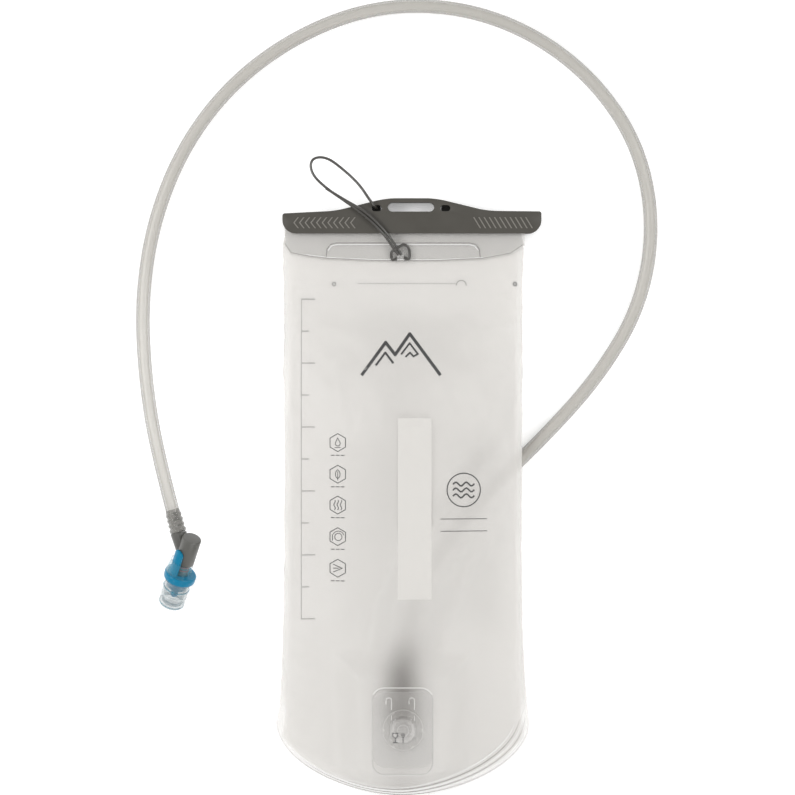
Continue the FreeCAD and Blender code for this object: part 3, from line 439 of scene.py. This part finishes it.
def film_material(name, color, weld_color, alpha, weld_alpha, painted_shade_color, painted_shade_alpha):
    """Milky film: a matt translucent sheet, clearer and glossier where it is welded flat, and drawn darker
    and less clear by painted shade over the hose end and the bag's middle.
    """
    material = shader(name, color, 0.42, Specular_IOR_Level=0.45)
    tree = material.node_tree
    bsdf = tree.nodes["Principled BSDF"]
    weld = tree.nodes.new("ShaderNodeAttribute")
    weld.attribute_name = "weld"
    place = tree.nodes.new("ShaderNodeTexCoord")
    cloud = tree.nodes.new("ShaderNodeTexNoise")
    cloud.inputs["Scale"].default_value = 22.0
    cloud.inputs["Detail"].default_value = 4.0
    tone = tree.nodes.new("ShaderNodeMix")
    tone.data_type = "RGBA"
    tone.inputs["A"].default_value = tuple(0.965 * c for c in color) + (1.0,)
    tone.inputs["B"].default_value = tuple(min(1.0, 1.02 * c) for c in color) + (1.0,)
    tint = tree.nodes.new("ShaderNodeMix")
    tint.data_type = "RGBA"
    tint.inputs["B"].default_value = (*weld_color, 1.0)
    cover = tree.nodes.new("ShaderNodeMapRange")
    cover.inputs["To Min"].default_value = alpha
    cover.inputs["To Max"].default_value = weld_alpha
    gloss = tree.nodes.new("ShaderNodeMapRange")
    gloss.inputs["To Min"].default_value = 0.46
    gloss.inputs["To Max"].default_value = 0.25
    grain = tree.nodes.new("ShaderNodeTexNoise")
    grain.inputs["Scale"].default_value = 1800.0
    lift = tree.nodes.new("ShaderNodeBump")
    lift.inputs["Strength"].default_value = 0.25
    lift.inputs["Distance"].default_value = 0.00008
    link = tree.links.new
    link(place.outputs["Object"], cloud.inputs["Vector"])
    link(place.outputs["Object"], grain.inputs["Vector"])
    link(cloud.outputs["Fac"], tone.inputs["Factor"])
    link(tone.outputs["Result"], tint.inputs["A"])
    link(weld.outputs["Fac"], tint.inputs["Factor"])
    # painted shade: the film's colour is mixed towards a dark grey and its cover raised
    painted_shade = tree.nodes.new("ShaderNodeAttribute")
    painted_shade.attribute_name = "painted_shade"
    painted_shade_tint = tree.nodes.new("ShaderNodeMix")
    painted_shade_tint.data_type = "RGBA"
    painted_shade_tint.inputs["B"].default_value = (*painted_shade_color, 1.0)
    painted_shade_alpha_mix = tree.nodes.new("ShaderNodeMix")
    painted_shade_alpha_mix.inputs["B"].default_value = painted_shade_alpha
    link(painted_shade.outputs["Fac"], painted_shade_tint.inputs["Factor"])
    link(tint.outputs["Result"], painted_shade_tint.inputs["A"])
    link(painted_shade_tint.outputs["Result"], bsdf.inputs["Base Color"])
    link(weld.outputs["Fac"], cover.inputs["Value"])
    link(painted_shade.outputs["Fac"], painted_shade_alpha_mix.inputs["Factor"])
    link(cover.outputs["Result"], painted_shade_alpha_mix.inputs["A"])
    link(painted_shade_alpha_mix.outputs["Result"], bsdf.inputs["Alpha"])
    link(weld.outputs["Fac"], gloss.inputs["Value"])
    link(gloss.outputs["Result"], bsdf.inputs["Roughness"])
    link(grain.outputs["Fac"], lift.inputs["Height"])
    link(lift.outputs["Normal"], bsdf.inputs["Normal"])
    return material


front_film = film_sheet("front_film", front_z, 110, 230, 1.7, 1.0)
back_film = film_sheet("back_film", back_z, 90, 190, 8.3, -1.0)
for vertex in back_film.data.vertices:
    vertex.co.z = max(vertex.co.z, FILM * MM + 0.0001)
settle_film(front_film, 0.005, 0.002, 14)


def drop_on(shape, x, y):
    """The highest point of a shape at a plan point, in metres."""
    return shape.ray_cast(Vector((x, y, 0.2)), Vector((0.0, 0.0, -1.0)))[0]


def lay_over(film, piece, gap, reach):
    """Lifts a film where a piece under it would come through, and a little way round it."""
    shape = BVHTree.FromObject(piece, bpy.context.evaluated_depsgraph_get())
    for vertex in film.data.vertices:
        for aside, along in ((0, 0), (reach, 0), (-reach, 0), (0, reach), (0, -reach)):
            below = drop_on(shape, vertex.co.x + aside, vertex.co.y + along)
            if below:
                vertex.co.z = max(vertex.co.z, below.z + gap)


lay_over(front_film, back_film, 0.00012, 0.0)
lay_over(front_film, nodes["baffle_front"], 0.0002, 0.0018)
# the last two values of each film are its painted shade colour and cover
front_milky = film_material("film_front", (0.78, 0.762, 0.735), (0.80, 0.785, 0.765), 0.24, 0.2,
                            (0.30, 0.285, 0.265), 0.3)
back_milky = film_material("film_back", (0.78, 0.762, 0.735), (0.80, 0.785, 0.765), 0.6, 0.3,
                           (0.05, 0.047, 0.043), 0.9)
for piece, milky in ((front_film, front_milky), (back_film, back_milky)):
    piece.data.materials.append(milky)
    piece.data.shade_smooth()
    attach(piece, "bag")


def from_port(spot):
    """Plan distance from the middle of the port, in millimetres."""
    return math.hypot(spot.x / MM - PORT_X, spot.y / MM - PORT_Y)


port_hole = bmesh.new()
port_hole.from_mesh(back_film.data)
inside = [face for face in port_hole.faces if from_port(face.calc_center_median()) < PORT_OPENING]
bmesh.ops.delete(port_hole, geom=inside, context="FACES")
port_hole.to_mesh(back_film.data)
port_hole.free()
for piece in (front_film, back_film):
    wall = piece.modifiers.new("film_wall", "SOLIDIFY")
    wall.thickness = FILM * MM
    wall.offset = 1.0
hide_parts("front_panel")
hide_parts("back_panel")

# ---------------------------------------------------------------- inner strips and lips
# The milky ribbed strips inside the films grip each other to keep the bag slim. The lips are
# clear extrusions welded into the mouth, each with a bead that the slider bar closes on.


EDGE_ANGLE = 32.0


def moulded(name, material, body, edge):
    """A copy of a CAD piece with its edges rounded as a mould leaves them."""
    source = nodes[name]
    bm = bmesh.new()
    bm.from_mesh(source.data)
    bmesh.ops.remove_doubles(bm, verts=bm.verts, dist=0.00001)
    bmesh.ops.dissolve_limit(bm, angle_limit=math.radians(2.0), verts=bm.verts, edges=bm.edges)
    sharp = [line for line in bm.edges
             if len(line.link_faces) == 2 and line.calc_face_angle(0.0) > math.radians(EDGE_ANGLE)]
    bmesh.ops.bevel(bm, geom=sharp, offset=edge, offset_type="OFFSET", affect="EDGES", segments=2,
                    profile=0.5, material=-1, clamp_overlap=True)
    bmesh.ops.triangulate(bm, faces=bm.faces)
    piece = new_piece(name + "_moulded", bm)
    piece.data.materials.append(material)
    piece.data.shade_smooth()
    piece.data.set_sharp_from_angle(angle=math.radians(35.0))
    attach(piece, body)
    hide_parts(name)
    return piece


strip_milky = add_grain(shader("strip_milky", (0.675, 0.66, 0.635), 0.32), 900.0, 0.00004, 0.26, 0.4)
lip_clear = clear_wall(shader("lip_clear", (0.86, 0.845, 0.815), 0.24, Coat_Weight=0.3), 0.22, 0.85, 0.35)
for name in ("baffle_front", "baffle_back"):
    nodes[name].data.materials.clear()
    nodes[name].data.materials.append(strip_milky)
for name in ("front_lip", "back_lip"):
    moulded(name, lip_clear, "bag", 0.00025)

# ---------------------------------------------------------------- slider bar
# A dark grey moulded bar with a hanging slot in its arch. It slides over both beads to close
# the mouth; arrowheads and slashes on its face show the way off and give the fingers a grip.

SLIDER_FACE_Z = 0.01308
slider_grey = add_grain(shader("slider_grey", (0.050, 0.0455, 0.037), 0.46),
                        1400.0, 0.0001, 0.36, 0.52, 0.06)
# The tops of the raised arrowheads and slashes are drawn a lighter grey than the bar: a painted highlight.
slider_mark_highlight = add_grain(shader("slider_mark_highlight", (0.17, 0.16, 0.14), 0.5),
                        1400.0, 0.00005, 0.4, 0.56, 0.05)
slider = moulded("slider_bar", slider_grey, "slider", 0.0006)
slider.data.materials.append(slider_mark_highlight)
for face in slider.data.polygons:
    face.material_index = 1 if face.center.z > SLIDER_FACE_Z else 0
# Dark grey discs under the two holes of the bar make the holes look dark: painted shade of the bar's hollow
# inside.
hole_shade_discs = bmesh.new()
for hole_x in (-0.0224, 0.0253):
    bmesh.ops.create_circle(hole_shade_discs, cap_ends=True, segments=24, radius=0.0031,
                            matrix=Matrix.Translation((hole_x, 0.1984, 0.0022)))
hole_shade = new_piece("slider_hole_shade_discs", hole_shade_discs)
hole_wall = hole_shade.modifiers.new("wall", "SOLIDIFY")
hole_wall.thickness = 0.0006
hole_shade.data.materials.append(slider_grey)
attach(hole_shade, "slider")

# ---------------------------------------------------------------- outlet port
# A clear patch welded over the film carries a pale housing with a sprung valve. The elbow plugs
# into it from behind, held by a steel clip, and lets the hose leave flat under the bag.

port_clear = clear_wall(shader("port_clear", (0.86, 0.85, 0.83), 0.2), 0.16, 1.0, 0.3)
port_pale = clear_wall(shader("port_pale", (0.60, 0.59, 0.57), 0.28), 0.14, 0.75, 0.3)
port_grey = add_grain(shader("port_grey", (0.055, 0.053, 0.05), 0.45), 1500.0, 0.0001, 0.38, 0.55, 0.05)
seal_red = shader("seal_red", (0.36, 0.09, 0.07), 0.5)
steel = shader("spring_steel", (0.6, 0.6, 0.6), 0.28, Metallic=1.0)
moulded("port_patch", port_clear, "bag", 0.0003)
moulded("valve_cage", port_clear, "bag", 0.0002)
moulded("port_housing", port_pale, "bag", 0.0003)
moulded("port_ring", port_pale, "bag", 0.0002)
moulded("hose_elbow", port_grey, "plug", 0.0003)
moulded("poppet", port_grey, "poppet", 0.0001)
collar_blue = add_grain(shader("collar_blue", (0.0, 0.185, 0.33), 0.22, Specular_IOR_Level=0.3),
                        900.0, 0.00005, 0.14, 0.28, 0.08)
clear_wall(collar_blue, 0.82, 1.0)
moulded("release_button", collar_blue, "button", 0.0003)
seal_pale = shader("seal_pale", (0.62, 0.61, 0.59), 0.5)
for name in ("port_gasket", "plug_seal", "poppet_seal", "spigot_seal_upper", "spigot_seal_lower"):
    nodes[name].data.materials.clear()
    nodes[name].data.materials.append(seal_pale if name == "port_gasket" else seal_red)
for name in ("poppet_spring", "latch_clip"):
    nodes[name].data.materials.clear()
    nodes[name].data.materials.append(steel)

# A thin dark grey sleeve over the hose's first 46 mm under the bag, partly painted shade: its dark grey
# darkens the hose end seen through the films.
elbow_exit = Vector(HOSE_ROUTE[0])
sleeve = bmesh.new()
bmesh.ops.create_cone(sleeve, cap_ends=False, segments=40, radius1=0.00488, radius2=0.00488, depth=0.046)
bmesh.ops.rotate(sleeve, verts=sleeve.verts, matrix=Matrix.Rotation(math.radians(90), 3, "X"))
bmesh.ops.translate(sleeve, verts=sleeve.verts, vec=elbow_exit + Vector((0.0, 0.0242, 0.0)))
hose_shade_sleeve = new_piece("hose_end_shade_sleeve", sleeve)
sleeve_wall = hose_shade_sleeve.modifiers.new("wall", "SOLIDIFY")
sleeve_wall.thickness = 0.0001
sleeve_wall.offset = -1.0
hose_shade_sleeve.data.materials.append(port_grey)
hose_shade_sleeve.data.shade_smooth()
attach(hose_shade_sleeve, "bag")

# ---------------------------------------------------------------- printing on the films
# Care symbols, a fill line and a volume scale are screen printed in black and grey ink. Each mark is a
# skin of ink that lies on the film's own surface; the scale and the fill line are on the back film.

ink_dark = shader("ink_dark", (0.05, 0.05, 0.05), 0.55)
ink_grey = shader("ink_grey", (0.16, 0.16, 0.155), 0.6, Alpha=0.8)
INK_LIFT = 0.00016
INK_AND_PAINT_THICK = 0.00003


def bar(bm, start, end, wide):
    """A straight stroke of ink between two plan points, in millimetres."""
    start, end = Vector((*start, 0.0)), Vector((*end, 0.0))
    along = end - start
    steps = max(1, int(along.length / 0.8))
    turn = Matrix.Rotation(math.atan2(along.y, along.x), 4, "Z")
    size = Matrix.Diagonal((along.length + wide * 0.6, wide, 1.0, 1.0))
    place = Matrix.Translation((start + end) / 2)
    bmesh.ops.create_grid(bm, x_segments=steps, y_segments=1, size=0.5, matrix=place @ turn @ size)


def bars(bm, points, wide, closed=False):
    ends = points[1:] + (points[:1] if closed else [])
    for start, end in zip(points, ends):
        bar(bm, start, end, wide)


def arc(middle, radius, first, last, steps):
    angles = [math.radians(first + (last - first) * i / steps) for i in range(steps + 1)]
    return [(middle[0] + radius * math.cos(a), middle[1] + radius * math.sin(a)) for a in angles]


marks = {}


def print_and_paint_on(name, bm, film, ink_and_painted_light, lift):
    """Lays a flat drawing on a film or a clear piece, a hair above its surface: printed ink, and lines of
    painted highlight and painted shade.
    """
    film_shape = BVHTree.FromObject(film, bpy.context.evaluated_depsgraph_get())
    for vert in bm.verts:
        x, y = vert.co.x * MM, vert.co.y * MM
        hit = drop_on(film_shape, x, y)
        vert.co = (x, y, (hit.z if hit else 0.0) + lift)
    piece = new_piece(name, bm)
    skin = piece.modifiers.new("ink_and_painted_light", "SOLIDIFY")
    skin.thickness = INK_AND_PAINT_THICK
    piece.data.materials.append(ink_and_painted_light)
    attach(piece, "bag")
    marks.setdefault(film.name, []).append(piece)


icons = bmesh.new()
icon_x = -48.6
for row, icon_y in enumerate((37.6, 16.1, -4.9, -26.4, -47.9)):
    bars(icons, arc((icon_x, icon_y), 6.1, 30, 330, 5), 0.5, closed=True)
    if row == 0:
        droplet = [(icon_x, icon_y + 3.2)] + arc((icon_x, icon_y - 0.6), 1.7, 35, -215, 9)
        bars(icons, droplet, 0.45, closed=True)
        bar(icons, (icon_x - 1.9, icon_y - 3.3), (icon_x + 1.9, icon_y - 3.3), 0.4)
    if row == 1:
        bars(icons, arc((icon_x + 2.1, icon_y), 3.7, 125, 235, 8), 0.45)
        bars(icons, arc((icon_x - 2.1, icon_y), 3.7, 55, -55, 8), 0.45)
        bar(icons, (icon_x, icon_y - 4.0), (icon_x, icon_y + 1.6), 0.4)
    if row == 2:
        for shift in (-2.2, 0.0, 2.2):
            steam = [(icon_x + shift + 0.55 * math.sin(i * 1.1), icon_y - 3.2 + 0.8 * i)
                     for i in range(9)]
            bars(icons, steam, 0.5)
    if row == 3:
        bars(icons, arc((icon_x + 0.4, icon_y - 0.2), 2.5, 0, 330, 11), 0.45, closed=True)
        bars(icons, arc((icon_x + 0.4, icon_y - 0.2), 4.0, 20, 150, 8), 0.4)
        bar(icons, (icon_x - 3.6, icon_y - 2.6), (icon_x - 3.6, icon_y + 1.4), 0.5)
    if row == 4:
        arrow = [(icon_x - 3.0, icon_y + 2.6), (icon_x + 3.0, icon_y), (icon_x - 3.0, icon_y - 2.6)]
        bars(icons, arrow, 0.5)
        bar(icons, (icon_x - 3.0, icon_y), (icon_x + 0.4, icon_y), 0.5)
    for dash in (-3.4, 0.0, 3.4):
        bar(icons, (icon_x + dash - 1.1, icon_y - 8.6), (icon_x + dash + 1.1, icon_y - 8.6), 0.55)
print_and_paint_on("print_care_symbols", icons, front_film, ink_dark, INK_LIFT)

cup = bmesh.new()
bowl = [(-11.2, -160.6), (-11.0, -162.8), (-9.4, -164.2), (-7.8, -162.8), (-7.6, -160.6)]
bars(cup, bowl, 0.45, closed=True)
bars(cup, [(-9.4, -164.2), (-9.4, -167.0)], 0.45)
bar(cup, (-11.0, -167.2), (-7.8, -167.2), 0.5)
for prong in (-4.9, -4.1, -3.3):
    bar(cup, (prong, -160.6), (prong, -162.6), 0.35)
bars(cup, arc((-4.1, -162.6), 0.8, 180, 360, 5), 0.35)
bar(cup, (-4.1, -163.4), (-4.1, -167.2), 0.5)
print_and_paint_on("print_food_safe", cup, front_film, ink_dark, INK_LIFT)

waves = bmesh.new()
bars(waves, arc((37.2, 5.4), 11.4, 0, 352, 44), 0.7, closed=True)
for level in (-4.0, 0.0, 4.0):
    crest = [(30.0 + 0.75 * i, 5.4 + level + 1.25 * math.sin(i * 0.66)) for i in range(20)]
    bars(waves, crest, 1.0)
for level in (-14.3, -22.6):
    bar(waves, (21.5, level), (53.0, level), 0.45)
print_and_paint_on("print_water_symbol", waves, front_film, ink_dark, INK_LIFT)

ridge = bmesh.new()
bars(ridge, [(-32.0, 84.0), (-16.0, 106.0), (-9.5, 97.5), (0.5, 112.0), (21.0, 84.0)], 2.1)
bars(ridge, [(-22.5, 90.5), (-16.2, 99.0), (-11.0, 92.0)], 1.4)
bars(ridge, [(-5.2, 98.0), (0.4, 105.5), (6.0, 98.0), (3.0, 96.4), (0.6, 99.0), (-2.2, 96.2)], 1.2)
print_and_paint_on("print_peaks", ridge, front_film, ink_dark, INK_LIFT)

scale_marks = bmesh.new()
for step in range(11):
    level = 136.0 - 22.0 * step
    bar(scale_marks, (-74.0, level), (-74.0 + (9.0 if step % 2 == 0 else 5.0), level), 0.9)
bar(scale_marks, (-74.0, 136.0), (-74.0, -84.0), 0.5)
for dot in range(34):
    spot = -35.0 + 2.0 * dot
    bar(scale_marks, (spot, 146.8), (spot + 0.7, 146.8), 0.7)
for middle in (-51.6, 73.0):
    bars(scale_marks, arc((middle, 146.4), 1.1, 0, 330, 11), 1.1, closed=True)
bars(scale_marks, arc((36.0, 145.6), 3.4, 0, 180, 8), 0.8)
print_and_paint_on("print_scale", scale_marks, back_film, ink_grey, 0.00055)

# ---------------------------------------------------------------- weld and moulding lines, painted highlights and shade
# The welds press fine ridges and grooves into the film, and the clear pieces show the edges of their own
# mouldings: the lips' outline and finger pad, and the port's flange and curled ribs. Light lines drawn along
# them are painted highlights, grey ones painted shade.

# light lines are painted highlights on ridges and edges, grey lines painted shade in grooves
painted_highlight_soft = shader("painted_highlight_soft", (0.93, 0.925, 0.915), 0.2, Alpha=0.4)
painted_highlight_bright = shader("painted_highlight_bright", (0.95, 0.945, 0.935), 0.2, Alpha=0.85)
painted_shade_grey = shader("painted_shade_grey", (0.40, 0.39, 0.37), 0.35, Alpha=0.34)
corner_wide = half_width(1.0)
WELD_LINE_STEPS = 80


def beside_weld(bm, offset, first, last, wide):
    """A line that runs inside the bottom weld and thins out to both ends."""
    line = []
    for step in range(WELD_LINE_STEPS + 1):
        u = math.sin(math.pi / 2 * (first + (last - first) * step / WELD_LINE_STEPS))
        spread = offset * (0.45 + 0.55 * smooth((u + 0.6) / 1.4))
        line.append((BAG_SHIFT + u * (corner_wide - spread), bottom_at(u) + spread))
    for step in range(WELD_LINE_STEPS):
        fade = math.sin(math.pi * (step + 0.5) / WELD_LINE_STEPS) ** 0.6
        bar(bm, line[step], line[step + 1], wide * fade)


# painted highlights along the bottom weld's ridges and painted shade along its grooves
bottom_ridge_highlights, bottom_groove_shade = bmesh.new(), bmesh.new()
for offset, first, last, wide in ((2.2, -0.5, 1.0, 0.8), (5.0, -0.75, 1.0, 1.2), (8.6, -0.1, 0.9, 1.0)):
    beside_weld(bottom_ridge_highlights, offset, first, last, wide)
for offset, first, last, wide in ((0.5, -0.99, 1.0, 0.6), (3.5, -0.6, 1.0, 0.7), (6.6, -0.3, 0.93, 0.8)):
    beside_weld(bottom_groove_shade, offset, first, last, wide)
print_and_paint_on("weld_ridge_highlights", bottom_ridge_highlights, front_film, painted_highlight_soft, 0.00012)
print_and_paint_on("weld_groove_shade", bottom_groove_shade, front_film, painted_shade_grey, 0.0001)

lip_shape = bpy.data.objects["front_lip_moulded"]
lip_outline = [(-85.1, 174.0), (-81.2, 168.0), (-70.5, 165.9), (-55.5, 164.0), (-25.6, 162.6), (19.8, 162.6),
               (50.8, 164.0), (69.6, 167.6), (79.3, 174.0)]
pad_outline = [(-57.0, 164.8), (-56.4, 170.5), (-54.0, 173.6), (-50.0, 174.6), (42.0, 174.6), (46.0, 173.6),
               (48.4, 170.5), (49.0, 164.8)]
# painted shade along the lip's outline and pad edge, painted highlights just inside them
lip_groove_shade, lip_ridge_highlights = bmesh.new(), bmesh.new()
bars(lip_groove_shade, lip_outline, 0.45)
bars(lip_groove_shade, pad_outline, 0.6)
bars(lip_ridge_highlights, [(x * 0.985 - 0.06, y - 1.0) for x, y in pad_outline[1:-1]], 0.7)
bars(lip_ridge_highlights, [(x, y + 0.7) for x, y in lip_outline[2:-2]], 0.45)
print_and_paint_on("lip_groove_shade", lip_groove_shade, lip_shape, painted_shade_grey, 0.0001)
print_and_paint_on("lip_ridge_highlights", lip_ridge_highlights, lip_shape, painted_highlight_soft, 0.0001)


def round_box(middle, wide, long, corner):
    """Plan points round a rectangle with round corners."""
    line = []
    for turn, (side_x, side_y) in enumerate(((1, 1), (-1, 1), (-1, -1), (1, -1))):
        spot = (middle[0] + side_x * (wide / 2 - corner), middle[1] + side_y * (long / 2 - corner))
        line += arc(spot, corner, 90 * turn, 90 * turn + 90, 6)
    return line


# painted highlights and painted shade round the port patch's welded flange
port_seal_highlight, port_seal_groove_shade, port_seal_top_highlight = bmesh.new(), bmesh.new(), bmesh.new()
bars(port_seal_highlight, round_box((-4.4, -161.0), 42.2, 60.0, 8.5), 0.7, closed=True)
bars(port_seal_top_highlight, round_box((-4.4, -161.0), 42.2, 60.0, 8.5)[2:12], 0.9)
bars(port_seal_groove_shade, round_box((-4.4, -161.0), 40.8, 58.6, 7.8), 0.4, closed=True)
print_and_paint_on("port_seal_ridge_highlight", port_seal_highlight, back_film, painted_highlight_soft, 0.0006)
print_and_paint_on("port_seal_top_highlight", port_seal_top_highlight, back_film, painted_highlight_bright, 0.00066)
print_and_paint_on("port_seal_groove_shade", port_seal_groove_shade, back_film, painted_shade_grey, 0.00058)

patch_shape = bpy.data.objects["port_patch_moulded"]
ring_shape = bpy.data.objects["port_ring_moulded"]
# painted highlights on the port's curled ribs, with painted shade beside them
for shape, low, high in ((patch_shape, -145.5, -139.4), (ring_shape, -166.5, -146.5)):
    curl_highlights, curl_groove_shade = bmesh.new(), bmesh.new()
    for leg in (-12.0, 3.8):
        curl = [(leg, low), (leg, high)]
        if shape is patch_shape:
            curl += arc((leg - 1.9, high), 1.9, 0, 180, 8) + [(leg - 3.8, high - 2.6)]
        bars(curl_highlights, curl, 0.7)
        bars(curl_groove_shade, [(x + 0.75, y) for x, y in curl[:2]], 0.45)
    print_and_paint_on("curl_highlights_on_" + shape.name, curl_highlights, shape, painted_highlight_bright, 0.0001)
    print_and_paint_on("groove_shade_on_" + shape.name, curl_groove_shade, shape, painted_shade_grey, 0.0001)

# ---------------------------------------------------------------- bite valve
# A grey elbow takes the hose on its barb. A blue collar turns on it to shut the water off and
# carries the clear silicone mouthpiece, which opens along a slit when it is bitten.

valve_grey = add_grain(shader("valve_grey", (0.085, 0.084, 0.076), 0.34), 1500.0, 0.0001, 0.28, 0.44, 0.06)
silicone = clear_wall(shader("silicone_clear", (0.27, 0.32, 0.33), 0.08, Coat_Weight=1.0), 0.06, 0.85, 0.35)
cover_clear = clear_wall(shader("cover_clear", (0.12, 0.34, 0.42), 0.1, Coat_Weight=0.7), 0.02, 0.7, 0.3)
seat_clear = clear_wall(shader("seat_clear", (0.10, 0.30, 0.38), 0.2), 0.12, 0.6, 0.3)
valve_pieces = [
    moulded("valve_elbow", valve_grey, "bag", 0.0003),
    moulded("valve_core", collar_blue, "bag", 0.0002),
    moulded("twist_collar", collar_blue, "twist", 0.00025),
    moulded("seat_ring", seat_clear, "twist", 0.0001),
    moulded("neck_sleeve", cover_clear, "twist", 0.0001),
    moulded("tab_cover", cover_clear, "twist", 0.0001),
    moulded("bite_nozzle", silicone, "twist", 0.0003),
    nodes["spigot_seal_upper"], nodes["spigot_seal_lower"],
]

# rings moulded round the mouthpiece: blue ones under the collar and at its end, and a clear one between them
mouth_way = -Vector((0.2834, 0.8183, 0.5)).normalized()
mouth_start = Vector((-0.1479, -0.0275, 0.0364))
ring_blue = clear_wall(shader("ring_blue", (0.02, 0.26, 0.36), 0.15, Coat_Weight=0.6), 0.35, 0.8, 0.3)
ring_clear = clear_wall(shader("ring_clear", (0.86, 0.90, 0.90), 0.1, Coat_Weight=0.8), 0.4, 0.9, 0.3)
mouth_side = mouth_way.cross(Vector((0.0, 0.0, 1.0))).normalized()
nozzle = bpy.data.objects["bite_nozzle_moulded"]
nozzle_shape = BVHTree.FromObject(nozzle, bpy.context.evaluated_depsgraph_get())
along_nozzle = [(vertex.co - mouth_start).dot(mouth_way) for vertex in nodes["bite_nozzle"].data.vertices]
nozzle_near, nozzle_far = min(along_nozzle), max(along_nozzle)
MOUTH_RINGS = (("mouth_ring_upper", 0.3, 0.5, ring_blue), ("mouth_ring_middle", 0.55, 0.35, ring_clear),
               ("mouth_ring_end", 0.88, 0.45, ring_blue))
for name, share, thick, material in MOUTH_RINGS:
    height = nozzle_near + share * (nozzle_far - nozzle_near)
    outside = mouth_start + height * mouth_way + 0.03 * mouth_side
    radius = 0.03 - (nozzle_shape.ray_cast(outside, -mouth_side)[3] or 0.022)
    ring = bmesh.new()
    upright = Matrix.Rotation(math.pi / 2, 4, "X")
    bmesh.ops.create_circle(ring, segments=10, radius=thick * MM,
                            matrix=Matrix.Translation((radius - 0.2 * MM, 0, 0)) @ upright)
    bmesh.ops.spin(ring, geom=ring.verts[:] + ring.edges[:], cent=(0, 0, 0), axis=(0, 0, 1), angle=math.tau,
                   steps=56, use_merge=True)
    bmesh.ops.recalc_face_normals(ring, faces=ring.faces)
    bmesh.ops.transform(ring, verts=ring.verts, matrix=Matrix.Translation(mouth_start + height * mouth_way)
                        @ mouth_way.to_track_quat("Z", "Y").to_matrix().to_4x4())
    mouth_ring = new_piece(name, ring)
    mouth_ring.data.materials.append(material)
    mouth_ring.data.shade_smooth()
    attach(mouth_ring, "twist")
    valve_pieces.append(mouth_ring)

# the hose's end swells over the barb and shows its rings
hose_end = Vector(HOSE_ROUTE[-1])
into_hose = (Vector(HOSE_ROUTE[-2]) - hose_end).normalized()
cuff = bmesh.new()
profile = [(4.85, 0.1), (5.45, 0.5)]
for band in range(4):
    start = 1.2 + 3.5 * band
    profile += [(5.95 - 0.12 * band, start + 0.4), (5.95 - 0.12 * band, start + 1.5), (4.95, start + 2.3),
                (4.95, start + 2.9)]
profile += [(4.82, 16.4)]
last = None
for radius, height in profile:
    vert = cuff.verts.new((radius * MM, 0.0, height * MM))
    if last:
        cuff.edges.new((last, vert))
    last = vert
bmesh.ops.spin(cuff, geom=cuff.verts[:] + cuff.edges[:], cent=(0, 0, 0), axis=(0, 0, 1), angle=math.tau,
               steps=48, use_merge=True)
bmesh.ops.recalc_face_normals(cuff, faces=cuff.faces)
along_hose = into_hose.to_track_quat("Z", "Y").to_matrix().to_4x4()
bmesh.ops.transform(cuff, verts=cuff.verts, matrix=Matrix.Translation(hose_end) @ along_hose)
hose_cuff = new_piece("hose_cuff", cuff)
cuff_grey = clear_wall(shader("cuff_grey", (0.20, 0.195, 0.18), 0.15, Coat_Weight=0.6), 0.5, 0.9, 0.4)
hose_cuff.data.materials.append(cuff_grey)
rounding = hose_cuff.modifiers.new("rounding", "SUBSURF")
rounding.levels = rounding.render_levels = 1
hose_cuff.data.shade_smooth()
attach(hose_cuff, "bag")
valve_pieces.append(hose_cuff)
